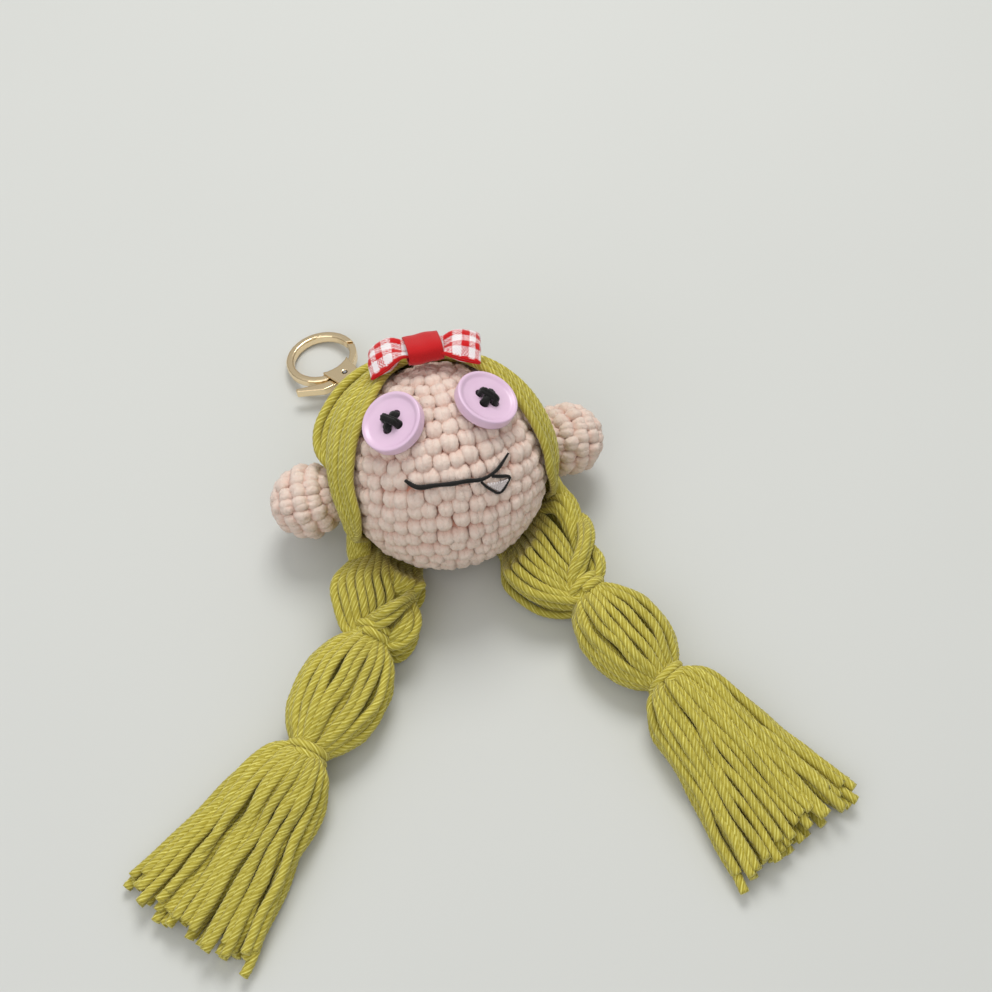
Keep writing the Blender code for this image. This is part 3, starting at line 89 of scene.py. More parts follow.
# The hair on the head: its edges, and how it piles up towards the plaits
HAIR_INNER_RADIUS = 0.0287
HAIR_GATHER_ANGLE = 22
HAIR_GATHER_LIFT = 0.0056
HAIR_LEAVES_HEAD_ANGLE = 13
HAIR_PILES = {"left": (0.0017, 0.0056), "right": (0.0002, 0.0012)}
HAIR_GROUP_SHARE = 0.46
PILE_FROM_SHARE, PILE_RISE_SHARE = 0.06, 0.14
EAR_CLEAR_ANGLE = 18
EAR_FADE_ANGLES = {"front": 30, "back": 7}
LEFT_FACE_EDGE = (
    (47, 5), (44, 24), (38, 48), (40, 70), (46, 84),
    (54, 97), (64, 106), (75, 116), (86, 118), (98, 116),
)
RIGHT_FACE_EDGE = (
    (47, 5), (44, 24), (37, 46), (38, 66), (42, 84), (48, 99),
    (56, 108), (65, 114), (75, 120), (88, 119), (101, 115),
)
SIDE_BACK_EDGE = ((109, 5), (118, 22), (126, 42), (130, 62), (130, 82), (126, 98))
# Layers of each group of strands: level in the pile, strands, and the shares of the group's width that they cover
HAIR_LAYERS = {
    "front": {
        "left": ((0.0, 7, 0.0, 1.0), (1.0, 4, 0.40, 1.0)),
        "right": ((0.0, 6, 0.0, 1.0),),
    },
    "back": {
        "left": ((0.0, 10, 0.0, 1.0), (0.5, 8, 0.0, 0.95), (1.0, 8, 0.0, 0.95)),
        "right": ((0.0, 10, 0.0, 1.0), (1.0, 6, 0.0, 0.8)),
    },
}
STRAND_ROOM_SHARE, THINNEST_STRAND = 0.55, 0.0008
PARTING_YARN_RADIUS = 0.0013
HAIR_END_SHIFT = {"left": 0.0030, "right": 0.0}

# The face
EYE_PLACES = {"left": (25.4, -96), "right": (23.2, 96)}
EYE_THREAD_TURNS = {"left": -4, "right": 5}
EYE_SEAT_RADIUS = 0.0283
BUTTON_THICKNESS, BUTTON_RIM, BUTTON_DISH, BUTTON_EDGE = 0.0030, 0.0010, 0.0007, 0.0004
BUTTON_HOLE_REACH, BUTTON_HOLE_RADIUS = 0.0022, 0.00125
# Threads of each bar of the X on a button: how far aside they lie and how much higher
BAR_THREADS = ((-0.00052, 0.0), (0.00052, 0.0001), (0.0, 0.00045))
BAR_THREAD_RADIUS, BAR_RISE, BAR_CROSSING_RISE = 0.00064, 0.00075, 0.0008
MOUTH_STATIONS = (
    (44.1, -138), (45.2, -146), (44.7, -152), (42.8, -165), (43.2, -182),
    (45.1, -193), (45.4, -201), (45.1, -211), (44.1, -225),
)
TONGUE_STATIONS = (
    (46.4, -194.5), (51.2, -197.5), (56, -201.8), (57, -204),
    (55.4, -210), (53.3, -214.8), (50, -210), (46.6, -203.5),
)
TONGUE_TOP = ((48.6, -197.6), (53.6, -212.8))
TONGUE_TIP = (56.0, -203.8)
# Thickness of the face's threads: shares of the length, and the share of the full thickness there
MOUTH_SWELL = ((0, 0.06, 0.3, 0.8, 1.0), (0.80, 1.10, 1.05, 0.9, 0.55))
TONGUE_SWELL = ((0, 0.7, 0.8, 1.0), (0.9, 0.9, 1.2, 1.2))
MOUTH_LUMPS = 16

# The bow
BOW_TILT, BOW_BEARING, BOW_DISTANCE, BOW_FACE_TILT, BOW_TURN = 33.5, 1, 0.0338, 22, -14
BOW_BAND_TURN = 13
BOW_LOOP_DROPS = {"left": 20, "right": 10}

# The hanging loop and the clasp
CLASP_PLACE = np.array((-0.0109, 0.0379, 0.0090))
CLASP_COURSE = 90 + 25.5
SWIVEL_WIRE_RADIUS, LOOP_YARN_RADIUS, LOOP_SLACK = 0.0009, 0.0010, 0.0008
LOOP_ROOT_TILT, LOOP_ROOT_SPREAD = 119, 0.0025

# The pigtails, as the frame has them, and how their strands lie
PLAIT_ROOT = {"left": (-0.03021, -0.00993), "right": (0.03016, -0.01009)}
PLAIT_COURSE = {"left": -88, "right": -94}
PLAIT_START_COURSE = {"left": -96, "right": -84}
PLAIT_LENGTH = {"left": 0.0262, "right": 0.0288}
BULB_COURSE = {"left": -131.5, "right": -66.6}
BULB_LENGTH = {"left": 0.0361, "right": 0.0330}
TASSEL_COURSE = {"left": -135, "right": -69}
TASSEL_FANS = {"left": (-3.5, 0.0232), "right": (0.8, 0.0262)}
TASSEL_LENGTH = {"left": 0.0505, "right": 0.0500}
PLAIT_HEIGHT = 0.0100
SECOND_TIE_HEIGHT = 0.0080
PLAIT_INWARD_SWING = 9
# Lobes of each bundle of a plait: how many strands, then the points of the first and the last one in millimetres
PLAIT_LOBES = {
    "left": (
        ((7, ((-25.5, -9.5, 8), (-35, -19.5, 14), (-36.5, -27, 14), (-35.5, -34, 12)),
          ((-20, -11.5, 8), (-22, -21.5, 14), (-22.5, -27.5, 14), (-24.5, -31.5, 12))),),
        ((5, ((-11.5, -17.5, 8), (-12.5, -24.5, 13), (-16, -28, 13), (-22, -29.5, 11)),
          ((-19.5, -13, 8), (-20.5, -21.5, 13), (-21.5, -25, 13), (-23.5, -27, 11))),
         (5, ((-17.5, -28.5, 10), (-17, -35, 12), (-19.5, -39.5, 12), (-25, -41, 11)),
          ((-22.5, -31.5, 10), (-23.5, -36, 12), (-25.5, -38.5, 12), (-27, -39, 11)))),
        ((3, ((-15.5, -26.5, 12), (-19.5, -31, 16), (-24.5, -33, 17), (-30, -33, 13)),
          ((-17, -29, 11), (-21.5, -34, 16), (-26, -36.5, 16.5), (-30.5, -35.5, 12))),),
    ),
    "right": (
        ((8, ((10.5, -19, 8), (9, -29, 14), (14, -37.5, 14), (23, -41.5, 12)),
          ((23.5, -11, 8), (25, -19.5, 14), (27, -27.5, 14), (28, -34, 12))),),
        ((5, ((28, -5.5, 8), (32, -10, 13), (33, -17, 13), (31, -26.5, 11)),
          ((23.5, -10.5, 8), (27, -14, 13), (28.5, -19, 13), (29, -28.5, 11))),),
        ((3, ((32.5, -18, 12), (31.5, -25.5, 16), (28.5, -31, 16.5), (24.5, -37, 13)),
          ((34.5, -18, 12), (34, -25.5, 15), (31, -31.5, 16), (26.5, -38, 13))),
         (3, ((33, -24, 10), (35, -31, 12), (33.5, -36.5, 12), (29.5, -39, 11)),
          ((31.5, -27.5, 10), (32, -32.5, 12), (31.5, -36, 12), (28, -38.5, 11)))),
    ),
}
# Layers of a lobe: share of its height, and how many strands fewer than on top
LOBE_LAYERS = ((1.0, 0), (0.62, 1), (0.24, 1))
LOBE_SWELL, LOBE_STRAND_RADIUS, LOBE_START_SCALE = 0.0014, 0.00122, np.array((0.88, 0.80, 0.8))
# Shares of the way along a puff, and the share of the full width there
BULB_PROFILE = (
    (0.0, 0.05, 0.13, 0.24, 0.36, 0.48, 0.60, 0.72, 0.84, 0.94, 1.0),
    (0.37, 0.44, 0.66, 0.86, 0.97, 1.0, 0.98, 0.90, 0.72, 0.48, 0.37),
)
BULB_HALF_WIDTH, BULB_HALF_HEIGHT, BULB_LEAST_HEIGHT = 0.0130, 0.0098, 0.0048
# Layers of a puff from the outside in: strands, depth below the outside and share of the size
BULB_LAYERS = ((23, 0.0, 1.0), (20, 0.0022, 0.98), (14, 0.0046, 0.96))
# Distances from the second tie, and there the half width and the heights of the lower and the upper side
TASSEL_REACH = (0.0, 0.0012, 0.0035, 0.0080, 0.016, 0.025, 0.037, 0.050, 0.058)
TASSEL_HALF_WIDTH = (0.0047, 0.0072, 0.0104, 0.0127, 0.0144, 0.0158, 0.0188, 0.0220)
TASSEL_LOW = (0.0034, 0.0030, 0.0012, 0.0004, 0.0002, 0.0001, 0.0, 0.0, 0.0)
TASSEL_HIGH = (0.0126, 0.0130, 0.0146, 0.0152, 0.0144, 0.0126, 0.0104, 0.0088, 0.0080)
# Rows of a tassel from the table up: height between the two sides, strands and share of the width
TASSEL_ROWS = ((-0.92, 15, 0.98), (-0.30, 16, 1.0), (0.32, 16, 0.98), (0.92, 14, 0.86))
TASSEL_STATIONS = (0, 0.022, 0.06, 0.11, 0.18, 0.27, 0.36, 0.46, 0.57, 0.71, 0.86, 1.0)
TIE_YARN_RADIUS, TIE_TURNS, TIE_PITCH, TIE_RING_RADIUS = 0.0012, 1.3, 0.0021, 0.0049
SIDES = {"left": -1, "right": 1}

# The photograph's camera, and the lamps
FOCAL_PIXELS, PICTURE_PIXELS, SENSOR_MILLIMETRES = 1545, 992, 36.0
CAMERA_PLACE = (-0.04896, -0.22202, 0.37360)
CAMERA_LOOKS_AT = (0.015285, 0.002166, 0.000498)
WINDOW_PLACE, WINDOW_SIZE, WINDOW_COLOUR = (0.16, 0.46, 0.86), 0.50, "FFFEFC"
FILL_PLACE, FILL_SIZE, FILL_COLOUR, FILL_SHARE = (-0.5, -0.40, 0.6), 0.8, "FAFAFF", 0.36
TABLE_HALF_WIDTH = 3.0


def linear(code):
    """An sRGB hex colour as the linear colour that a shader takes."""
    values = [int(code[place:place + 2], 16) / 255 for place in (0, 2, 4)]
    return (*[v / 12.92 if v <= 0.04045 else ((v + 0.055) / 1.055) ** 2.4 for v in values], 1.0)


def number_setting(name, description, default):
    return FloatProperty(name=name, description=description, default=default)


def length_setting(name, description, default):
    return FloatProperty(name=name, description=description, default=default, unit="LENGTH")


def colour_setting(name, description, code):
    return FloatVectorProperty(name=name, description=description, size=4, subtype="COLOR", default=linear(code))


class YarnSettings(bpy.types.PropertyGroup):
    """The green yarn of the hair and the pink yarn of the crochet."""

    strand_radius: length_setting("Strand radius", "Half the thickness of the hair yarn", 0.0013)
    ply_lead: length_setting("Ply lead", "Length in which a ply goes once round", 0.0095)
    ring_step: length_setting("Ring step", "Distance between the rings of a strand's mesh", 0.0008)
    hair_colour: colour_setting("Hair colour", "Green yarn in full light", "EDE682")
    # Painted shade: the green yarn's colour in the grooves between its plies
    hair_painted_shade: colour_setting("Hair shade", "Green yarn between its plies", "A8992C")
    skin_colour: colour_setting("Skin colour", "Pink yarn in full light", "FFEADC")
    # Painted shade: the pink yarn's colour deep between the stitches and on the lining
    skin_painted_shade: colour_setting("Skin shade", "Pink yarn deep between the stitches", "E6A48C")


class CrochetSettings(bpy.types.PropertyGroup):
    """The rounds of stitches of the head and the ears."""

    leg_radius: length_setting("Leg radius", "Half the thickness of one leg of a stitch", 0.00148)
    leg_lean: number_setting("Leg lean", "Share of a stitch that a leg leans over", 0.12)


class TrimSettings(bpy.types.PropertyGroup):
    """Buttons, threads, ribbon and clasp."""

    button_radius: length_setting("Button radius", "Half the width of an eye button", 0.00825)
    button_colour: colour_setting("Button colour", "Lilac plastic", "E2BFDC")
    thread_colour: colour_setting("Thread colour", "Black sewing thread", "1C1B19")
    ribbon_red: colour_setting("Ribbon red", "Red yarns of the ribbon", "CF0C12")
    ribbon_white: colour_setting("Ribbon white", "White yarns of the ribbon", "F4ECEE")
    check_size: length_setting("Check size", "Width of one check of the gingham", 0.0017)
    hem_width: length_setting("Hem width", "Width of the red hem along the front of the bow's loops", 0.0014)
    gold_colour: colour_setting("Gold colour", "Pale gold plating of the clasp", "F7E0B8")


class StageSettings(bpy.types.PropertyGroup):
    """Table, lamps and camera."""

    table_colour: colour_setting("Table colour", "Plain pale table top", "CED0CD")
    key_power: number_setting("Key power", "Strength of the large window light", 4.6)
    sky_strength: number_setting("Sky strength", "Strength of the even light from all round", 0.62)


# Shaders


def add(tree, kind, inputs=None, **settings):
    """Adds a node, sets its properties, and fills its inputs with values or with other nodes' outputs."""
    node = tree.nodes.new(kind)
    for name, value in settings.items():
        setattr(node, name, value)
    for name, value in (inputs or {}).items():
        socket = node.inputs[name]
        if isinstance(value, bpy.types.NodeSocket):
            tree.links.new(value, socket)
        else:
            socket.default_value = value
    return node


def new_finish(name, **constants):
    """A material with one Principled shader, whose constant sockets are set directly."""
    material = bpy.data.materials.new(name)
    material.use_nodes = True
    shader = material.node_tree.nodes["Principled BSDF"]
    for socket, value in constants.items():
        shader.inputs[socket.replace("_", " ")].default_value = value
    return material, material.node_tree, shader


def green_acrylic_yarn():
    """Plied acrylic knitting yarn: dull and softly hairy, with fine fibres that run with the twist, and painted shade
    darkening it between the plies.
    """
    settings = bpy.context.scene.doll_yarn
    material, tree, shader = new_finish(
        "Green_acrylic_yarn", Roughness=0.9, Sheen_Weight=0.2, Sheen_Roughness=0.5, Specular_IOR_Level=0.2
    )
    ridge = add(tree, "ShaderNodeAttribute", attribute_name="ridge")
    tone = add(tree, "ShaderNodeAttribute", attribute_name="tone")
    along = add(tree, "ShaderNodeUVMap", uv_map="strand")
    # Nine plies round a strand of 2.6 mm lie about 0.7 mm apart, and a bunch of fibres is some 1.6 mm long
    plies_round, bunches_round, bunches_a_metre = 9, 15.0, 620.0
    shake, ply_share, contrast, darkest = 4.0, 0.20, 1.6, -0.20
    scale = (bunches_round, bunches_a_metre, 1.0)
    stretched = add(tree, "ShaderNodeMapping", {"Vector": along.outputs["UV"], "Scale": scale})
    fibres = add(tree, "ShaderNodeTexNoise", {"Vector": stretched.outputs[0], "Scale": 1.0, "Detail": 2.0})
    turn = add(tree, "ShaderNodeSeparateXYZ", {"Vector": along.outputs["UV"]})
    sums = {0: turn.outputs["X"], 1: 2 * pi * plies_round}
    round_it = add(tree, "ShaderNodeMath", sums, operation="MULTIPLY")
    sums = {0: fibres.outputs["Fac"], 1: shake, 2: round_it.outputs[0]}
    shaken = add(tree, "ShaderNodeMath", sums, operation="MULTIPLY_ADD")
    plies = add(tree, "ShaderNodeMath", {0: shaken.outputs[0]}, operation="SINE")
    sums = {0: plies.outputs[0], 1: ply_share, 2: fibres.outputs["Fac"]}
    height = add(tree, "ShaderNodeMath", sums, operation="MULTIPLY_ADD")
    # Painted shade: from here the colour runs from the lit colour on the plies' tops to the painted shade in the
    # grooves, by the ply waves and the strand's painted light; the fibre noise in it is the yarn's own uneven tone
    sums = {0: height.outputs[0], 1: contrast, 2: darkest}
    share = add(tree, "ShaderNodeMath", sums, operation="MULTIPLY_ADD")
    sums = {0: share.outputs[0], 1: ridge.outputs["Fac"]}
    lit = add(tree, "ShaderNodeMath", sums, operation="MULTIPLY", use_clamp=True)
    tones = {0: lit.outputs[0], 6: tuple(settings.hair_painted_shade), 7: tuple(settings.hair_colour)}
    colour = add(tree, "ShaderNodeMix", tones, data_type="RGBA")
    toned = add(tree, "ShaderNodeHueSaturation", {"Color": colour.outputs[2], "Value": tone.outputs["Fac"]})
    tree.links.new(toned.outputs["Color"], shader.inputs["Base Color"])
    bump = add(tree, "ShaderNodeBump", {"Height": height.outputs[0], "Strength": 0.6, "Distance": 0.0002})
    tree.links.new(bump.outputs["Normal"], shader.inputs["Normal"])
    return material


def pink_wool_yarn():
    """Soft brushed wool blend: matt and woolly, with painted shade of a deeper warm pink deep between the stitches."""
    settings = bpy.context.scene.doll_yarn
    material, tree, shader = new_finish(
        "Pink_wool_yarn", Roughness=0.95, Sheen_Weight=0.3, Sheen_Roughness=0.6, Specular_IOR_Level=0.15
    )
    ridge = add(tree, "ShaderNodeAttribute", attribute_name="ridge")
    place = add(tree, "ShaderNodeTexCoord")
    # Tufts of brushed wool are about 1.5 mm across, with finer ones inside them
    tufts = {"Vector": place.outputs["Object"], "Scale": 650.0, "Detail": 5.0, "Roughness": 0.75}
    wool = add(tree, "ShaderNodeTexNoise", tufts)
    uneven = add(tree, "ShaderNodeMath", {0: wool.outputs["Fac"], 1: 0.5}, operation="SUBTRACT")
    # The colour mixes the wool's own uneven tufts with painted shade, which comes in where the painted light is low: at
    # the dived ends of the stitches' legs and on the lining
    sums = {0: uneven.outputs[0], 1: 0.9, 2: ridge.outputs["Fac"]}
    mixed = add(tree, "ShaderNodeMath", sums, operation="MULTIPLY_ADD")
    tones = {0: mixed.outputs[0], 6: tuple(settings.skin_painted_shade), 7: tuple(settings.skin_colour)}
    colour = add(tree, "ShaderNodeMix", tones, data_type="RGBA")
    tree.links.new(colour.outputs[2], shader.inputs["Base Color"])
    bump = add(tree, "ShaderNodeBump", {"Height": wool.outputs["Fac"], "Strength": 1.0, "Distance": 0.0009})
    tree.links.new(bump.outputs["Normal"], shader.inputs["Normal"])
    return material


def fibre_filling():
    """Polyester fibre filling: white, loose and matt."""
    material, tree, shader = new_finish("Polyester_fibre_filling", Roughness=1.0, Sheen_Weight=0.3)
    place = add(tree, "ShaderNodeTexCoord")
    # Clumps of filling are about 1.1 mm across
    clumps = add(tree, "ShaderNodeTexNoise", {"Vector": place.outputs["Object"], "Scale": 900.0, "Detail": 5.0})
    tones = {0: clumps.outputs["Fac"], 6: linear("D9D6CE"), 7: linear("F4F2EC")}
    colour = add(tree, "ShaderNodeMix", tones, data_type="RGBA")
    tree.links.new(colour.outputs[2], shader.inputs["Base Color"])
    bump = add(tree, "ShaderNodeBump", {"Height": clumps.outputs["Fac"], "Strength": 0.8, "Distance": 0.0006})
    tree.links.new(bump.outputs["Normal"], shader.inputs["Normal"])
    return material


def lilac_plastic():
    """Cast polyester button: smooth, faintly cloudy, softly polished."""
    settings = bpy.context.scene.doll_trim
    material, tree, shader = new_finish(
        "Lilac_polyester_button", Roughness=0.32, IOR=1.52, Coat_Weight=0.15, Coat_Roughness=0.2
    )
    place = add(tree, "ShaderNodeTexCoord")
    # Clouds in the cast sheet are about 4 mm across, and the grain of its polish 0.3 mm
    cloud = add(tree, "ShaderNodeTexNoise", {"Vector": place.outputs["Object"], "Scale": 260.0, "Detail": 3.0})
    tones = {0: cloud.outputs["Fac"], 6: tuple(settings.button_colour), 7: linear("E8CBE2")}
    colour = add(tree, "ShaderNodeMix", tones, data_type="RGBA")
    tree.links.new(colour.outputs[2], shader.inputs["Base Color"])
    grain = add(tree, "ShaderNodeTexNoise", {"Vector": place.outputs["Object"], "Scale": 3000.0, "Detail": 2.0})
    bump = add(tree, "ShaderNodeBump", {"Height": grain.outputs["Fac"], "Strength": 0.05, "Distance": 0.0001})
    tree.links.new(bump.outputs["Normal"], shader.inputs["Normal"])
    return material


def black_cotton_thread():
    """Twisted black cotton: dull, with painted shade, near black, between its plies and its own black on their tops."""
    settings = bpy.context.scene.doll_trim
    material, tree, shader = new_finish("Black_cotton_thread", Roughness=0.8, Sheen_Weight=0.2, Specular_IOR_Level=0.3)
    ridge = add(tree, "ShaderNodeAttribute", attribute_name="ridge")
    # Painted shade: 0B0A09 in the grooves between the plies, by the strand's painted light
    tones = {0: ridge.outputs["Fac"], 6: linear("0B0A09"), 7: tuple(settings.thread_colour)}
    colour = add(tree, "ShaderNodeMix", tones, data_type="RGBA")
    tree.links.new(colour.outputs[2], shader.inputs["Base Color"])
    return material


def white_cotton_thread():
    """White cotton stitches laid side by side, with painted shade between their plies."""
    material, tree, shader = new_finish("White_cotton_thread", Roughness=0.85, Sheen_Weight=0.2, Specular_IOR_Level=0.3)
    ridge = add(tree, "ShaderNodeAttribute", attribute_name="ridge")
    # Painted shade: C9BDBB in the grooves between the plies, by the strand's painted light
    tones = {0: ridge.outputs["Fac"], 6: linear("C9BDBB"), 7: linear("F3EDEC")}
    colour = add(tree, "ShaderNodeMix", tones, data_type="RGBA")
    tree.links.new(colour.outputs[2], shader.inputs["Base Color"])
    return material


def woven_ribbon(name, checked):
    """Woven cotton ribbon. Gingham has red and white bands both ways, which cross in red, white and half tones."""
    settings = bpy.context.scene.doll_trim
    material, tree, shader = new_finish(name, Roughness=0.8, Sheen_Weight=0.25, Specular_IOR_Level=0.25)
    where = add(tree, "ShaderNodeUVMap", uv_map="cloth")
    axes = add(tree, "ShaderNodeSeparateXYZ", {"Vector": where.outputs["UV"]})
    bands = []
    for axis in ("X", "Y"):
        count = {0: axes.outputs[axis], 1: 1 / (2 * settings.check_size)}
        turns = add(tree, "ShaderNodeMath", count, operation="MULTIPLY")
        part = add(tree, "ShaderNodeMath", {0: turns.outputs[0]}, operation="FRACT")
        bands.append(add(tree, "ShaderNodeMath", {0: part.outputs[0], 1: 0.5}, operation="LESS_THAN").outputs[0])
    # The real weave has about three yarns to a millimetre, so a pair of them takes 0.6 mm
    pair_of_yarns, looseness, over_or_under = 0.0006, 2.4, 1.2
    weave = []
    for axis in ("X", "Y"):
        sums = {0: axes.outputs[axis], 1: 2 * pi / pair_of_yarns}
        turns = add(tree, "ShaderNodeMath", sums, operation="MULTIPLY")
        weave.append(add(tree, "ShaderNodeMath", {0: turns.outputs[0]}, operation="SINE").outputs[0])
    over = add(tree, "ShaderNodeMath", {0: weave[0], 1: weave[1]}, operation="MULTIPLY")
    loose = add(tree, "ShaderNodeTexNoise", {"Vector": where.outputs["UV"], "Scale": 2400.0, "Detail": 1.0})
    sums = {0: loose.outputs["Fac"], 1: looseness, 2: over.outputs[0]}
    shaken = add(tree, "ShaderNodeMath", sums, operation="MULTIPLY_ADD")
    pick = add(tree, "ShaderNodeMath", {0: shaken.outputs[0], 1: over_or_under}, operation="GREATER_THAN")
    if checked:
        both = {0: pick.outputs[0], 2: bands[0], 3: bands[1]}
        top = add(tree, "ShaderNodeMix", both, data_type="FLOAT")
        edge = {0: axes.outputs["X"], 1: settings.hem_width}
        hem = add(tree, "ShaderNodeMath", edge, operation="LESS_THAN")
        red = add(tree, "ShaderNodeMath", {0: top.outputs[0], 1: hem.outputs[0]}, operation="MAXIMUM")
        tones = {0: red.outputs[0], 6: tuple(settings.ribbon_white), 7: tuple(settings.ribbon_red)}
    else:
        tones = {0: pick.outputs[0], 6: linear("BE1218"), 7: tuple(settings.ribbon_red)}
    colour = add(tree, "ShaderNodeMix", tones, data_type="RGBA")
    tree.links.new(colour.outputs[2], shader.inputs["Base Color"])
    bump = add(tree, "ShaderNodeBump", {"Height": over.outputs[0], "Strength": 0.5, "Distance": 0.0001})
    tree.links.new(bump.outputs["Normal"], shader.inputs["Normal"])
    return material


def pale_gold_plate():
    """Die-cast zinc, polished and plated pale gold: mirror-like with faint handling marks."""
    settings = bpy.context.scene.doll_trim
    material, tree, shader = new_finish("Pale_gold_plate", Metallic=1.0)
    shader.inputs["Base Color"].default_value = settings.gold_colour
    place = add(tree, "ShaderNodeTexCoord")
    # Handling marks are about 0.7 mm long
    marks = add(tree, "ShaderNodeTexNoise", {"Vector": place.outputs["Object"], "Scale": 1400.0, "Detail": 3.0})
    rough = add(tree, "ShaderNodeMapRange", {"Value": marks.outputs["Fac"], "To Min": 0.10, "To Max": 0.22})
    tree.links.new(rough.outputs["Result"], shader.inputs["Roughness"])
    return material


def spring_steel():
    """Drawn spring steel: grey, with a fine uneven shine."""
    material, tree, shader = new_finish("Spring_steel", Metallic=1.0)
    shader.inputs["Base Color"].default_value = linear("B9B9BC")
    place = add(tree, "ShaderNodeTexCoord")
    # Drawing marks are about 0.25 mm apart
    marks = add(tree, "ShaderNodeTexNoise", {"Vector": place.outputs["Object"], "Scale": 4000.0, "Detail": 2.0})
    rough = add(tree, "ShaderNodeMapRange", {"Value": marks.outputs["Fac"], "To Min": 0.25, "To Max": 0.45})
    tree.links.new(rough.outputs["Result"], shader.inputs["Roughness"])
    return material


finishes = {}


def finish_of(key):
    """The material of that key, made once."""
    makers = {
        "green": green_acrylic_yarn, "pink": pink_wool_yarn, "filling": fibre_filling, "button": lilac_plastic,
        "black": black_cotton_thread, "white": white_cotton_thread, "gold": pale_gold_plate, "steel": spring_steel,
        "gingham": lambda: woven_ribbon("Gingham_cotton_ribbon", True),
        "ribbon": lambda: woven_ribbon("Red_cotton_ribbon", False),
    }
    if key not in finishes:
        finishes[key] = makers[key]()
    return finishes[key]


# Paths and strands


def unit(vector):
    return vector / np.linalg.norm(vector)


def heading(tilt, bearing):
    """Unit vector leaning from straight up by tilt, towards a bearing clockwise from the crown."""
    lean, way = radians(tilt), radians(bearing)
    return np.array((sin(lean) * sin(way), sin(lean) * cos(way), cos(lean)))


def turned(course, fall=0.0):
    """The axes of a frame on the table that points along a course and falls, as columns."""
    turn = Matrix.Rotation(radians(course), 3, "Z") @ Matrix.Rotation(fall, 3, "Y")
    return np.array(turn)


def curve_through(points, step):
    """Evenly spaced points of a smooth curve through the given ones."""
    points = np.asarray(points, float)
    ends = np.vstack((2 * points[0] - points[1], points, 2 * points[-1] - points[-2]))
    before, start, end, after = ends[:-3], ends[1:-2], ends[2:-1], ends[3:]
    t = np.linspace(0, 1, 12, endpoint=False)[:, None, None]
    fine = (2 * start + (end - before) * t + (2 * before - 5 * start + 4 * end - after) * t ** 2
            + (3 * start - before - 3 * end + after) * t ** 3) / 2
    fine = np.vstack((fine.transpose(1, 0, 2).reshape(-1, points.shape[1]), points[-1:]))
    gone = np.concatenate(([0], np.cumsum(np.linalg.norm(np.diff(fine[:, :3], axis=0), axis=1))))
    count = max(int(ceil(gone[-1] / step)), 3)
    places = np.linspace(0, gone[-1], count + 1)
    return np.stack([np.interp(places, gone, fine[:, axis]) for axis in range(points.shape[1])], axis=1)


def carried_axes(path):
    """Tangents of a path and two vectors across it that turn as little as they can."""
    tangents = np.gradient(path, axis=0)
    tangents /= np.linalg.norm(tangents, axis=1)[:, None]
    aside = np.array((0.0, 0.0, 1.0)) if abs(tangents[0][2]) < 0.9 else np.array((0.0, 1.0, 0.0))
    first = unit(np.cross(tangents[0], aside))
    firsts = np.empty_like(path)
    for index, tangent in enumerate(tangents):
        first = first - tangent * first.dot(tangent)
        first /= sqrt(first.dot(first))
        firsts[index] = first
    return tangents, firsts, np.cross(tangents, firsts)


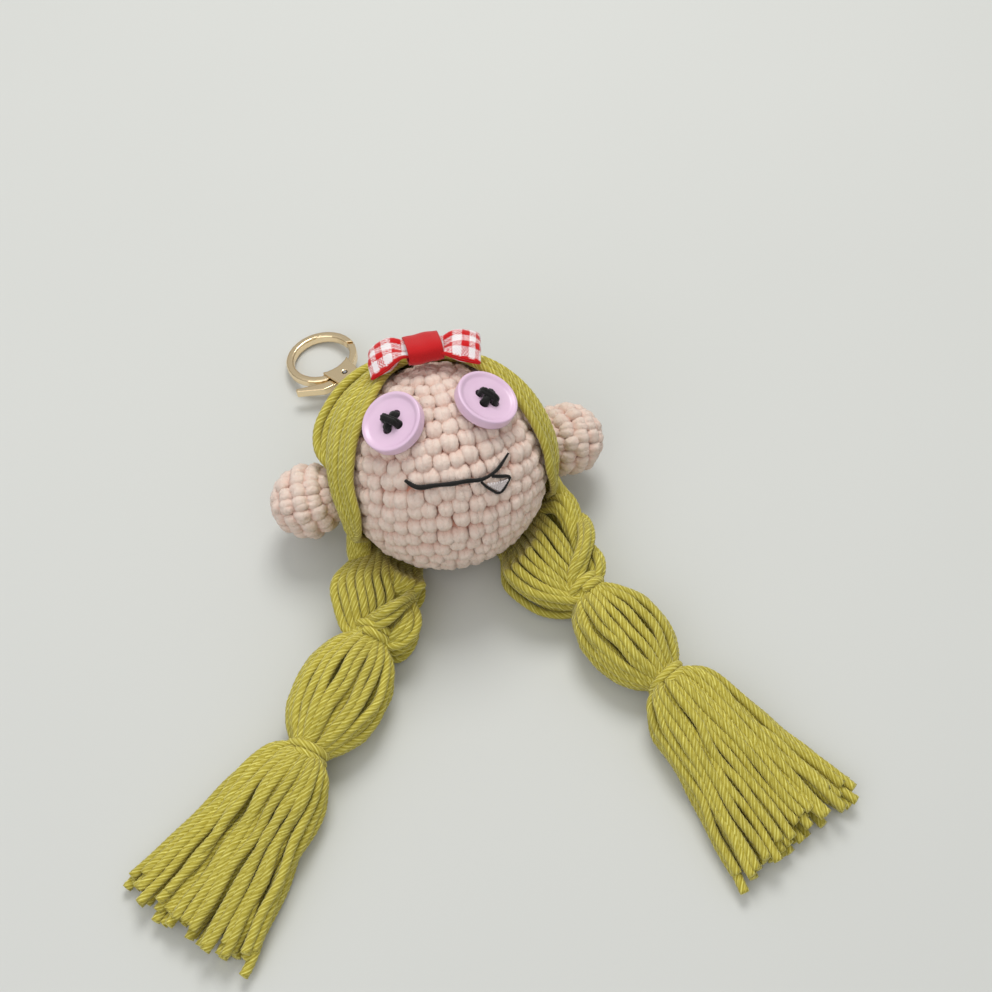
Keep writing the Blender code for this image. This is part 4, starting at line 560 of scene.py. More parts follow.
class Skein:
    """Strands of one yarn, gathered into one mesh. Every second column of a strand's mesh is the top of a ply, and each
    point carries a painted light number that darkens the colour into painted shade in the grooves.
    """

    def __init__(self, plies=6, lead=None, groove=0.93, step=None, seed=1, rough=0.0):
        yarn = bpy.context.scene.doll_yarn
        self.columns = 2 * plies
        self.lead = lead or yarn.ply_lead
        self.step = step or yarn.ring_step
        self.groove = groove
        self.rough = rough
        self.random = np.random.default_rng(seed)
        self.points, self.quads, self.tris, self.uvs, self.ridges, self.tones = [], [], [], [], [], []
        self.count = 0

    def wandering(self, path, along, wander):
        """The path bent by two slow waves that die out at its ends."""
        fade = np.sin(pi * along) ** 0.5
        for turns in (1.3, 2.9):
            phases = self.random.uniform(0, 2 * pi, 3)
            shift = np.sin(2 * pi * turns * along[:, None] + phases) * self.random.uniform(0.3, 1.0, 3)
            path = path + shift * (wander / turns ** 0.5) * fade[:, None]
        return path

    def lay(
        self, points, radius, tone=None, wander=0.0, floor=None, groove_light=0.0, flat_end=False, painted_shade_ends=False
    ):
        """Lays one strand along the points. The radius is one number or one for each point."""
        points = np.asarray(points, float)
        radii = np.full(len(points), radius) if np.isscalar(radius) else np.asarray(radius, float)
        path = curve_through(np.hstack((points, radii[:, None])), self.step)
        path, radii = path[:, :3], path[:, 3]
        rings = len(path)
        along = np.arange(rings) / (rings - 1)
        if wander:
            path = self.wandering(path, along, wander)
        if floor is not None:
            path[:, 2] = np.maximum(path[:, 2], floor + radii)
        _, first, second = carried_axes(path)
        columns = self.columns
        start = self.random.uniform(0, 2 * pi)
        gone = np.concatenate(([0], np.cumsum(np.linalg.norm(np.diff(path, axis=0), axis=1))))
        angles = start + 2 * pi * np.arange(columns)[None, :] / columns + (2 * pi / self.lead) * gone[:, None]
        reach = radii[:, None] * np.where(np.arange(columns) % 2 == 0, 1.0, self.groove)[None, :]
        reach = reach * (1 + self.rough * self.random.uniform(-1, 1, reach.shape))
        ring = path[:, None, :] + reach[:, :, None] * (
            np.cos(angles)[:, :, None] * first[:, None, :] + np.sin(angles)[:, :, None] * second[:, None, :]
        )
        # Painted light for the colour: 1 on the tops of the plies and less in the grooves, where the material paints
        # shade
        ridge = np.where(np.arange(columns) % 2 == 0, 1.0, groove_light)[None, :].repeat(rings, axis=0)
        # Painted shade: the light falls off where the strand thins, at the ends of a crochet leg that dive into the
        # holes
        if painted_shade_ends:
            ridge = ridge * ((radii / radii.max()) ** 2.2)[:, None]
        tone = self.random.uniform(0.93, 1.05) if tone is None else tone
        base = self.count
        index = base + np.arange(rings * columns).reshape(rings, columns)
        near, far = index[:-1], index[1:]
        quads = np.stack((near, np.roll(near, -1, 1), np.roll(far, -1, 1), far), axis=-1).reshape(-1, 4)
        column = np.arange(columns)[None, :].repeat(rings - 1, axis=0) / columns
        low, high = gone[:-1, None].repeat(columns, 1), gone[1:, None].repeat(columns, 1)
        offset = self.random.uniform(0, 5)
        u = np.stack((column, column + 1 / columns, column + 1 / columns, column), axis=-1).reshape(-1) + offset
        v = np.stack((low, low, high, high), axis=-1).reshape(-1)
        self.points.append(ring.reshape(-1, 3))
        self.ridges.append(ridge.reshape(-1))
        tips = []
        bulge = 0.1 if flat_end else 0.45
        for end, inward in ((0, 1), (rings - 1, rings - 2)):
            tip = base + rings * columns + len(tips)
            tips.append(path[end] + unit(path[end] - path[inward]) * radii[end] * bulge)
            edge, after = index[end], np.roll(index[end], -1)
            pair = (after, edge) if end == 0 else (edge, after)
            self.tris.append(np.stack((*pair, np.full(columns, tip)), axis=-1))
        self.points.append(np.array(tips))
        self.ridges.append(np.full(2, 0.5 * (groove_light + 1.0)))
        total = rings * columns + 2
        self.tones.append(np.full(total, tone))
        self.quads.append(quads)
        self.uvs.append(np.stack((u, v), axis=-1))
        self.count += total

    def object(self, name, finish):
        """All strands laid so far as one object."""
        tris = np.vstack(self.tris)
        made = mesh_object(name, np.vstack(self.points), np.vstack(self.quads), tris, finish)
        uvs = np.vstack((np.vstack(self.uvs), np.zeros((len(tris) * 3, 2))))
        layer = made.data.uv_layers.new(name="strand")
        layer.data.foreach_set("uv", uvs.astype(np.float32).ravel())
        for key, values in (("ridge", self.ridges), ("tone", self.tones)):
            give_points(made.data, key, np.concatenate(values))
        return made


def give_points(mesh, key, values):
    """Gives each point of a mesh a number that its material reads."""
    attribute = mesh.attributes.new(key, "FLOAT", "POINT")
    attribute.data.foreach_set("value", values.astype(np.float32))


def in_scene(name, data):
    """A new object with that data, linked into the scene."""
    made = bpy.data.objects.new(name, data)
    bpy.context.scene.collection.objects.link(made)
    return made


def from_bmesh(name, shape):
    """A new object from a bmesh, which is used up."""
    mesh = bpy.data.meshes.new(name)
    shape.to_mesh(mesh)
    shape.free()
    return in_scene(name, mesh)


def mesh_object(name, points, quads, tris, finish):
    """A smooth mesh object from arrays of points, four-sided and three-sided faces."""
    mesh = bpy.data.meshes.new(name)
    points = np.asarray(points, float)
    quads, tris = np.asarray(quads, int).reshape(-1, 4), np.asarray(tris, int).reshape(-1, 3)
    mesh.vertices.add(len(points))
    mesh.vertices.foreach_set("co", points.astype(np.float32).ravel())
    corners = np.concatenate((quads.ravel(), tris.ravel())).astype(np.int32)
    mesh.loops.add(len(corners))
    mesh.loops.foreach_set("vertex_index", corners)
    starts = np.concatenate((np.arange(len(quads)) * 4, len(quads) * 4 + np.arange(len(tris)) * 3))
    mesh.polygons.add(len(starts))
    mesh.polygons.foreach_set("loop_start", starts.astype(np.int32))
    mesh.update(calc_edges=True)
    mesh.shade_smooth()
    mesh.materials.append(finish)
    return in_scene(name, mesh)


def in_place(made, body, nodes):
    """The piece rides on its body and stands for its nodes."""
    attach(made, body)
    if nodes:
        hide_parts(*nodes)
    return made


# Crochet


def crochet_ball(skein, centre, pole, radius, along, counts, floor):
    """Rounds of V-shaped stitches over a ball, from one pole to the other."""
    settings = bpy.context.scene.doll_crochet
    least_polar, half_gap, jitter = 0.02, 0.09, 0.0002
    side = unit(np.cross(pole, (0.0, 0.0, 1.0) if abs(pole[2]) < 0.9 else (0.0, 1.0, 0.0)))
    other = np.cross(pole, side)
    height = pi / len(counts)
    leg, lean = settings.leg_radius, settings.leg_lean
    # Height in the round, share of the lean, depth below the surface and thickness of a leg's stations
    stations = (
        (-0.12, -0.20, 2.10, 0.72), (0.14, 0.08, 1.42, 0.98), (0.37, 0.35, 1.00, 1.15), (0.62, 0.62, 0.98, 1.17),
        (0.88, 0.88, 1.48, 0.98), (1.12, 1.05, 2.2, 0.72),
    )
    for row, count in enumerate(counts):
        bottom = (row + 1) * height
        start = skein.random.uniform(0, 0.3)
        for step in range(count):
            middle = 2 * pi * (step + 0.5 * (row % 2) + start + skein.random.uniform(-0.10, 0.10)) / count
            tone = skein.random.uniform(0.97, 1.02)
            lift = skein.random.uniform(-0.16, 0.16) * height
            sunk = skein.random.uniform(-0.02, 0.16)
            for hand in (-1, 1):
                size = leg * skein.random.uniform(0.88, 1.08)
                points = []
                for rise, share, depth, _ in stations:
                    depth += sunk
                    polar = min(max(bottom - rise * height + lift, least_polar), pi - least_polar)
                    turn = middle + hand * (half_gap + lean * share) * 2 * pi / count
                    flat = (side * cos(turn) + other * sin(turn)) * (radius - depth * leg) * sin(polar)
                    points.append(centre + flat + pole * (along - depth * leg) * cos(polar))
                points = np.array(points) + skein.random.uniform(-jitter, jitter, 3)
                points[:, 2] = np.maximum(points[:, 2], floor + leg)
                radii = [size * station[3] for station in stations]
                # Painted shade: the grooves keep most of their light, and the legs' ends darken as they dive between
                # the stitches
                skein.lay(points, radii, tone, groove_light=0.92, painted_shade_ends=True)


def lining(name, centre, pole, radius, along, floor, finish):
    """The closed inner face of a crocheted cover, seen through the holes between its stitches. Its points get no
    painted light, so in the pink yarn it is all painted shade.
    """
    shape = bmesh.new()
    bmesh.ops.create_icosphere(shape, subdivisions=4, radius=1.0)
    turn = Vector(pole).to_track_quat("Z", "Y").to_matrix()
    for vert in shape.verts:
        place = Vector((vert.co.x * radius, vert.co.y * radius, vert.co.z * along))
        point = turn @ place + Vector(centre)
        vert.co = Vector((point.x, point.y, max(point.z, floor)))
    made = from_bmesh(name, shape)
    made.data.shade_smooth()
    made.data.materials.append(finish)
    # Painted shade: no painted light on the lining, so the pink yarn shows its painted shade colour there all over; the
    # filling's finish doesn't read it
    for key, value in (("ridge", 0.0), ("tone", 1.0)):
        give_points(made.data, key, np.full(len(made.data.vertices), value))
    return made


def joined(pieces, name):
    """One object from several, keeping the first one's name."""
    chosen = {"active_object": pieces[0], "selected_editable_objects": pieces, "selected_objects": pieces}
    with bpy.context.temp_override(**chosen):
        bpy.ops.object.join()
    pieces[0].name = name
    return pieces[0]


def stuffed_cover(names, nodes, seed, ball, rounds, rests, filling_depth):
    """A crocheted cover with its lining as one piece, and its filling as another."""
    centre, axis, radius, along = ball
    skein = Skein(groove=0.96, step=0.0006, seed=seed, rough=0.05)
    crochet_ball(skein, centre, axis, radius, along, rounds, rests[0])
    stitches = skein.object(names[0], finish_of("pink"))
    depth = LINING_DEPTH_IN_LEGS * bpy.context.scene.doll_crochet.leg_radius
    # The lining wears painted shade: it stands for the shade in the holes between the stitches
    inner = lining(names[1], centre, axis, radius - depth, along - depth, rests[1], finish_of("pink"))
    cover = joined([stitches, inner], names[0])
    in_place(cover, "doll_head", [nodes[0]])
    radius, along = radius - filling_depth, along - filling_depth
    filling = lining(names[2], centre, axis, radius, along, rests[2], finish_of("filling"))
    in_place(filling, "doll_head", [nodes[1]])


class DOLL_OT_head(bpy.types.Operator):
    """Crochets the head and fills it"""

    bl_idname = "doll.head"
    bl_label = "Crocheted head"

    def execute(self, context):
        stuffed_cover(
            ("Head_crochet", "Head_shade_lining", "Head_filling"), ("head_cover", "head_stuffing"), seed=11,
            ball=(HEAD_CENTRE, unit(HEAD_POLE), HEAD_RADIUS, HEAD_RADIUS), rounds=HEAD_ROUNDS,
            rests=(COVER_REST_HEIGHT, COVER_REST_HEIGHT + 0.0008, 0.0056), filling_depth=0.0032,
        )
        return {"FINISHED"}


class DOLL_OT_ears(bpy.types.Operator):
    """Crochets the two ears and fills them"""

    bl_idname = "doll.ears"
    bl_label = "Crocheted ears"

    def execute(self, context):
        for word, side in SIDES.items():
            axis = heading(EAR_TILT, side * EAR_BEARING)
            stuffed_cover(
                (f"Ear_crochet_{word}", f"Ear_shade_lining_{word}", f"Ear_filling_{word}"),
                (f"{word}_ear_cover", f"{word}_ear_stuffing"), seed=21 + side,
                ball=(HEAD_CENTRE + axis * EAR_DISTANCE, axis, EAR_RADIUS, EAR_REACH), rounds=EAR_ROUNDS,
                rests=(0.0, 0.0, 0.0), filling_depth=0.0034,
            )
        return {"FINISHED"}


# Hair on the head


def root_point(word):
    return np.array((*PLAIT_ROOT[word], PLAIT_HEIGHT))


def edge_curve(stations, side, word, count):
    """Unit vectors from the parting to the plait, evenly along an edge of the hair."""
    points = [heading(tilt, side * bearing) for tilt, bearing in stations]
    points.append(unit(root_point(word) - HEAD_CENTRE))
    curve = curve_through(points, 0.002)
    places = np.linspace(0, len(curve) - 1, count)
    curve = np.stack([np.interp(places, np.arange(len(curve)), curve[:, axis]) for axis in range(3)], axis=1)
    return curve / np.linalg.norm(curve, axis=1)[:, None]


def smooth_step(value):
    value = np.clip(value, 0, 1)
    return value * value * (3 - 2 * value)


def angle_to(ways, axis):
    """Degrees between unit vectors and an axis."""
    return np.degrees(np.arccos(np.clip(ways @ axis, -1, 1)))


def hair_strand(front, back, share, word, level):
    """Points of one strand over the head, from under the parting into the root of the plait."""
    radius = bpy.context.scene.doll_yarn.strand_radius
    side, root = SIDES[word], root_point(word)
    along = np.linspace(0, 1, len(front))
    ways = front * (1 - share) + back * share
    ways /= np.linalg.norm(ways, axis=1)[:, None]
    angle = angle_to(ways, unit(root - HEAD_CENTRE))
    near = np.clip(1 - angle / HAIR_GATHER_ANGLE, 0, 1)
    rise = smooth_step((along + PILE_FROM_SHARE) / PILE_RISE_SHARE)
    ear = angle_to(ways, heading(EAR_TILT, side * EAR_BEARING))
    fade = EAR_FADE_ANGLES["front" if share < HAIR_GROUP_SHARE else "back"]
    rise = rise * smooth_step((ear - EAR_CLEAR_ANGLE) / fade)
    low = HAIR_INNER_RADIUS + HAIR_GATHER_LIFT * near ** 2
    reach = low + radius + level * pile_of(word, share) * rise * (1 - near)
    points = HEAD_CENTRE + ways * reach[:, None]
    kept = [point for point, where in zip(points[::3], angle[::3]) if where > HAIR_LEAVES_HEAD_ANGLE]
    # The start is drawn in under the parting stitch, and the end runs fanned out into the plait
    start_way = ways[0] * np.array((0.15, 1.0, 1.0))
    kept.insert(0, HEAD_CENTRE + unit(start_way) * (HEAD_RADIUS - 0.0004 + level * 0.0020))
    course = radians(PLAIT_START_COURSE[word])
    ahead = np.array((cos(course), sin(course), 0.0))
    aside = np.array((sin(course) * side, -cos(course) * side, 0.0))
    spread = max((0.45 - share) * 0.0070, -0.0020) + HAIR_END_SHIFT[word]
    arch = np.array((0, 0, 0.0050 * cos((share - 0.42) * 3)))
    kept.append(root + ahead * -0.0015 + aside * spread + arch)
    kept.append(root + ahead * 0.0030 + aside * spread * 0.9 + np.array((0, 0, 0.0010)))
    return np.array(kept)


def pile_of(word, share):
    """How high the hair has piled up on its first layer at a share of its width."""
    front, back = HAIR_PILES[word]
    if share < HAIR_GROUP_SHARE:
        return front * share / HAIR_GROUP_SHARE
    return back * (1 - share) / (1 - HAIR_GROUP_SHARE)


def hair_group(name, word, edges, shares, layers, seed):
    """One group of strands as one piece, between two shares of the hair's width."""
    front, back = edges
    width = shares[1] - shares[0]
    skein = Skein(seed=seed)
    radius = bpy.context.scene.doll_yarn.strand_radius
    for level, count, low, high in layers:
        for step in range(count):
            share = low + (high - low) * (step + 0.5) / count
            share = shares[0] + width * share + skein.random.uniform(-0.006, 0.006)
            points = hair_strand(front, back, share, word, level)
            places = np.linspace(0, len(front) - 1, len(points)).astype(int)
            room = np.linalg.norm(front - back, axis=1)[places] * HEAD_RADIUS * width * (high - low) / count
            sizes = np.clip(STRAND_ROOM_SHARE * room, THINNEST_STRAND, radius) * skein.random.uniform(0.94, 1.04)
            sizes[0] *= 0.8
            skein.lay(points, sizes, wander=0.0002)
    return skein.object(name, finish_of("green"))


def at_share(curve, share):
    """The point of a curve at a share of its stations."""
    place = share * (len(curve) - 1)
    index = int(place)
    return curve[index] + (curve[min(index + 1, len(curve) - 1)] - curve[index]) * (place - index)


class DOLL_OT_hair(bpy.types.Operator):
    """Lays the strands of hair over the head"""

    bl_idname = "doll.hair"
    bl_label = "Hair on the head"

    def execute(self, context):
        edges = {}
        for word, side in SIDES.items():
            face = LEFT_FACE_EDGE if word == "left" else RIGHT_FACE_EDGE
            edges[word] = [edge_curve(edge, side, word, 49) for edge in (face, SIDE_BACK_EDGE)]
        groups = (("front", (0.0, HAIR_GROUP_SHARE), 31), ("back", (HAIR_GROUP_SHARE, 1.0), 41))
        for word, side in SIDES.items():
            for group, shares, seed in groups:
                layers = HAIR_LAYERS[group][word]
                made = hair_group(f"Hair_{group}_{word}", word, edges[word], shares, layers, seed + side)
                in_place(made, "doll_head", [f"hair_{word}_{group}"])
        self.nape(context, edges)
        self.parting()
        return {"FINISHED"}

    def nape(self, context, edges):
        """Strands over the back of the head, from the root of one plait to the root of the other."""
        radius = context.scene.doll_yarn.strand_radius
        skein = Skein(seed=51)
        for share in np.linspace(0.16, 0.93, 17):
            one, two = at_share(edges["left"][1], share), at_share(edges["right"][1], share)
            mean = (one[1] + two[1]) / 2
            middle = np.array((0, mean, -sqrt(max(1 - mean * mean, 0))))
            points = []
            for part in np.linspace(0, 1, 17):
                way = unit(one * (1 - part) ** 2 + middle * (2 * part * (1 - part)) + two * part ** 2)
                points.append(HEAD_CENTRE + way * (HAIR_INNER_RADIUS + 0.9 * radius))
            skein.lay(points, radius, floor=0.0, wander=0.00008)
        made = skein.object("Hair_nape", finish_of("green"))
        in_place(made, "doll_head", ["hair_nape"])

    def parting(self):
        """The row of yarn that holds the hair down along the crown."""
        skein = Skein(seed=61)
        distance = HEAD_RADIUS + 0.0017
        points = [HEAD_CENTRE + heading(tilt, 0) * distance for tilt in np.linspace(58, 104, 9)]
        skein.lay(points, PARTING_YARN_RADIUS)
        in_place(skein.object("Parting_stitch", finish_of("green")), "doll_head", ["parting_stitch"])


# Pigtails


def first_tie_point(word):
    course = radians(PLAIT_COURSE[word])
    return root_point(word) + np.array((cos(course), sin(course), 0)) * PLAIT_LENGTH[word]


def bulb_fall(word):
    return asin((PLAIT_HEIGHT - SECOND_TIE_HEIGHT) / BULB_LENGTH[word])


def second_tie_point(word):
    return first_tie_point(word) + turned(BULB_COURSE[word], bulb_fall(word))[:, 0] * BULB_LENGTH[word]


def clear_of_head(points, word, radius):
    """Presses points out of the head, and out of where the head is at the end of the plait's inward swing."""
    root = root_point(word)
    swing = radians(PLAIT_INWARD_SWING) * SIDES[word]
    turn = np.array(Matrix.Rotation(swing, 3, "Z"))
    for centre in (HEAD_CENTRE, root + turn @ (HEAD_CENTRE - root)):
        away = points - centre
        distance = np.linalg.norm(away, axis=1)
        least = HEAD_RADIUS + 0.0003 + radius
        points = np.where((distance < least)[:, None], centre + away / distance[:, None] * least, points)
    return points


class DOLL_OT_plaits(bpy.types.Operator):
    """Plaits the hair from the head to the first tie"""

    bl_idname = "doll.plaits"
    bl_label = "Plaits"

    def execute(self, context):
        for word in SIDES:
            for bundle, lobes in enumerate(PLAIT_LOBES[word]):
                skein = Skein(seed=71 + bundle + (10 if word == "left" else 0))
                for count, *edges in lobes:
                    edges = [np.array(points) / 1000 for points in edges]
                    for height, fewer in LOBE_LAYERS:
                        for strand in range(count - fewer):
                            share = (strand + 0.5 * fewer) / (count - 1)
                            self.strand(skein, word, edges, share, height)
                made = skein.object(f"Plait_strands_{word}_{bundle + 1}", finish_of("green"))
                nodes = [f"{word}_plait_bundle_{bundle + 1}"] + ([f"{word}_plait_gather"] if bundle == 0 else [])
                in_place(made, f"{word}_plait", nodes)
        return {"FINISHED"}

    def strand(self, skein, word, edges, share, height):
        """One strand, from under the hair over its lobe and into the first tie."""
        first, last = edges
        points = first * (1 - share) + last * share
        points[:, :2] += skein.random.uniform(-0.0002, 0.0002, 2)
        points[1:3, 2] += LOBE_SWELL * sin(pi * share)
        points[:, 2] *= height
        way_out, aside, _ = turned(BULB_COURSE[word]).T
        end = first_tie_point(word) + np.array((0, 0, (height - 0.6) * 0.006)) + way_out * 0.0016
        end += aside * 0.0028 * cos(2 * pi * share + pi * height)
        points = curve_through(np.vstack((points[0] * LOBE_START_SCALE, points, end)), 0.0025)
        thick = LOBE_STRAND_RADIUS * skein.random.uniform(0.96, 1.06)
        skein.lay(clear_of_head(points, word, thick), thick, wander=0.00025, floor=0.0)


class DOLL_OT_bulbs(bpy.types.Operator):
    """Lays the loose puffs of strands between the ties"""

    bl_idname = "doll.bulbs"
    bl_label = "Puffs between the ties"

    def execute(self, context):
        radius = context.scene.doll_yarn.strand_radius
        for word in SIDES:
            skein = Skein(seed=91 if word == "left" else 92)
            turn = turned(BULB_COURSE[word], bulb_fall(word))
            origin, length = first_tie_point(word), BULB_LENGTH[word]
            for count, depth, most in BULB_LAYERS:
                for strand in range(count):
                    angle = 2 * pi * (strand + skein.random.uniform(-0.30, 0.30)) / count
                    drift = skein.random.uniform(-0.22, 0.22)
                    scale = skein.random.uniform(0.88, 1.0) * most
                    points, radii = [], []
                    for share in np.linspace(0, 1, 15):
                        width = np.interp(share, *BULB_PROFILE) * scale
                        thick = radius * min(1.0, 0.62 + width)
                        lost = thick + depth * width
                        bent = angle + drift * (share - 0.5)
                        y = max(BULB_HALF_WIDTH * width - lost, 0.0002) * cos(bent)
                        tall = max(BULB_HALF_HEIGHT * width, BULB_LEAST_HEIGHT)
                        z = max(tall - lost, 0.0002) * sin(bent)
                        points.append(origin + turn @ np.array((share * length, y, z)))
                        radii.append(thick)
                    skein.lay(points, radii, wander=0.0004, floor=0.0)
            made = skein.object(f"Puff_strands_{word}", finish_of("green"))
            in_place(made, f"{word}_bulb", [f"{word}_bulb"])
        return {"FINISHED"}


class DOLL_OT_tassels(bpy.types.Operator):
    """Lays the cut ends below the second ties"""

    bl_idname = "doll.tassels"
    bl_label = "Tassels"

    def execute(self, context):
        radius = context.scene.doll_yarn.strand_radius
        for word in SIDES:
            skein = Skein(seed=101 if word == "left" else 102)
            lean, end_width = TASSEL_FANS[word]
            turn = turned(TASSEL_COURSE[word] + lean)
            wide = (*TASSEL_HALF_WIDTH, end_width)
            origin, length = second_tie_point(word), TASSEL_LENGTH[word]
            for lift, count, span in TASSEL_ROWS:
                for strand in range(count):
                    side = span * (2 * (strand + 0.5) / count - 1) + skein.random.uniform(-0.04, 0.04)
                    cross = skein.random.uniform(-0.10, 0.10)
                    rise = lift + skein.random.uniform(-0.15, 0.15)
                    end = length + skein.random.uniform(-0.0046, 0.0030)
                    points, radii = [], []
                    for part in TASSEL_STATIONS:
                        away = part * end
                        half = np.interp(away, TASSEL_REACH, wide)
                        bottom = np.interp(away, TASSEL_REACH, TASSEL_LOW)
                        top = np.interp(away, TASSEL_REACH, TASSEL_HIGH)
                        thick = radius * min(1.0, 0.70 + away / 0.03)
                        here = min(max(side + cross * part * (1 - abs(side)), -1), 1)
                        # The tassel is flat below and thins towards its sides, where it sinks to the table
                        arch = sqrt(max(1 - (abs(here) * 0.92) ** 2.4, 0.02))
                        middle, swell = (bottom + top) / 2, max((top - bottom) / 2 - thick, 0)
                        sunk = swell * (1 - arch) * 0.55 if away > 0.006 else 0
                        place = (away, here * (half - thick), middle + rise * swell * arch - sunk - SECOND_TIE_HEIGHT)
                        points.append(np.array(place) @ turn.T + origin)
                        radii.append(thick)
                    skein.lay(points, radii, wander=0.0007, floor=0.0, flat_end=True)
            made = skein.object(f"Tassel_strands_{word}", finish_of("green"))
            in_place(made, f"{word}_tassel", [f"{word}_tassel"])
        return {"FINISHED"}


class DOLL_OT_ties(bpy.types.Operator):
    """Winds the yarn of the four ties"""

    bl_idname = "doll.ties"
    bl_label = "Ties"

    def execute(self, context):
        whole_turn = 2 * pi * TIE_TURNS
        for word in SIDES:
            ties = (
                ("first", first_tie_point(word), turned(BULB_COURSE[word]), f"{word}_plait"),
                ("second", second_tie_point(word), turned(BULB_COURSE[word], bulb_fall(word)), f"{word}_bulb"),
            )
            for which, origin, turn, body in ties:
                skein = Skein(seed=111)
                points = []
                for angle in np.linspace(0, whole_turn, 40):
                    along = TIE_PITCH * TIE_TURNS * (angle / whole_turn - 0.5)
                    around = (TIE_RING_RADIUS * cos(angle), TIE_RING_RADIUS * sin(angle))
                    points.append(origin + turn @ np.array((along, *around)))
                skein.lay(points, TIE_YARN_RADIUS)
                made = skein.object(f"Tie_{which}_{word}", finish_of("green"))
                in_place(made, body, [f"{word}_{which}_tie"])
        return {"FINISHED"}


# Face


def on_head(tilt, bearing, distance, spin=0.0):
    """A frame on the head whose Z points straight out of it, as a 4 x 4 matrix."""
    out = Vector(heading(tilt, bearing))
    side = Vector((0, 1, 0)).cross(out).normalized()
    up = out.cross(side)
    turn = Matrix((side, up, out)).transposed() @ Matrix.Rotation(radians(spin), 3, "Z")
    return Matrix.Translation(Vector(HEAD_CENTRE) + out * distance) @ turn.to_4x4()


def lathe(profile, sides):
    """Points and faces of a turned shape, from (reach, height) stations. A reach of zero is a pole."""
    points, quads, tris, rows = [], [], [], []
    for reach, height in profile:
        if reach == 0:
            rows.append([len(points)])
            points.append((0, 0, height))
            continue
        rows.append(list(range(len(points), len(points) + sides)))
        turns = [2 * pi * k / sides for k in range(sides)]
        points += [(reach * cos(turn), reach * sin(turn), height) for turn in turns]
    for near, far in zip(rows, rows[1:]):
        for k in range(sides):
            after = (k + 1) % sides
            if len(near) == 1:
                tris.append((near[0], far[after], far[k]))
            elif len(far) == 1:
                tris.append((near[k], near[after], far[0]))
            else:
                quads.append((near[k], near[after], far[after], far[k]))
    return points, quads, tris


class DOLL_OT_eyes(bpy.types.Operator):
    """Turns the two buttons and sews them on"""

    bl_idname = "doll.eyes"
    bl_label = "Button eyes"

    def execute(self, context):
        profile = self.profile(context.scene.doll_trim.button_radius)
        for word, (tilt, bearing) in EYE_PLACES.items():
            place = on_head(tilt, bearing, EYE_SEAT_RADIUS, EYE_THREAD_TURNS[word])
            button = mesh_object(f"Eye_button_{word}", *lathe(profile, 96), finish_of("button"))
            self.drill(button)
            button.data.transform(place)
            in_place(button, "doll_head", [f"{word}_eye_button"])
            made = self.thread(place).object(f"Eye_thread_{word}", finish_of("black"))
            in_place(made, "doll_head", [f"{word}_eye_thread"])
        return {"FINISHED"}

    def profile(self, radius):
        """Stations of a button from the middle of its back, round the rim and into the dished front."""
        thick, rim, dish, edge = BUTTON_THICKNESS, BUTTON_RIM, BUTTON_DISH, BUTTON_EDGE
        flat, well, front = radius - edge, radius - rim, thick - dish
        lower, upper = np.linspace(0.2, pi / 2, 5), np.linspace(0, pi / 2, 6)
        return [
            (0, 0), (flat, 0),
            *[(flat + edge * sin(turn), edge - edge * cos(turn)) for turn in lower],
            *[(flat + edge * cos(turn), thick - edge + edge * sin(turn)) for turn in upper],
            (well + 0.25 * rim, thick - 0.00002), (well, thick - 0.12 * dish), (well - 0.0004, thick - 0.75 * dish),
            (well - 0.0010, front), (well * 0.6, front), (0, front),
        ]

    def thread(self, place):
        """The X of thread over a button, whose bars go down through its holes."""
        skein = Skein(plies=4, lead=0.0036, groove=0.88, step=0.0003, seed=121)
        up, top = np.array((0, 0, 1.0)), BUTTON_THICKNESS - BUTTON_DISH
        for bar, turn in enumerate((radians(45), radians(135))):
            way = np.array((cos(turn), sin(turn), 0.0))
            aside = np.cross(up, way)
            for shift, lift in BAR_THREADS:
                rest = top + BAR_RISE + BAR_CROSSING_RISE * bar + lift
                out = BUTTON_HOLE_REACH + skein.random.uniform(-0.0001, 0.0002)
                points = [
                    way * -out, way * -out + up * (top + 0.0002), way * (0.0004 - out) + up * rest,
                    up * (rest + 0.0002),
                    way * (out - 0.0004) + up * rest, way * out + up * (top + 0.0002), way * out,
                ]
                skein.lay([Vector(place @ Vector(p + aside * shift)) for p in points], BAR_THREAD_RADIUS)
        return skein

    def drill(self, button):
        """Cuts the four holes."""
        cutters = []
        for turn in (45, 135, 225, 315):
            shape = bmesh.new()
            reach = BUTTON_HOLE_REACH * cos(radians(turn)), BUTTON_HOLE_REACH * sin(radians(turn))
            bmesh.ops.create_cone(
                shape, cap_ends=True, segments=24, radius1=BUTTON_HOLE_RADIUS, radius2=BUTTON_HOLE_RADIUS,
                depth=3 * BUTTON_THICKNESS, matrix=Matrix.Translation((*reach, BUTTON_THICKNESS / 2))
            )
            cutter = from_bmesh("hole", shape)
            change = button.modifiers.new("hole", "BOOLEAN")
            change.object, change.solver, change.operation = cutter, "EXACT", "DIFFERENCE"
            cutters.append(cutter)
        settle(button)
        for cutter in cutters:
            bpy.data.objects.remove(cutter)
        button.data.shade_smooth()
        button.data.set_sharp_from_angle(angle=radians(40))


def settle(made):
    """Applies a piece's modifiers to its mesh."""
    bpy.context.view_layer.update()
    evaluated = made.evaluated_get(bpy.context.evaluated_depsgraph_get())
    mesh = bpy.data.meshes.new_from_object(evaluated)
    made.modifiers.clear()
    made.data = mesh


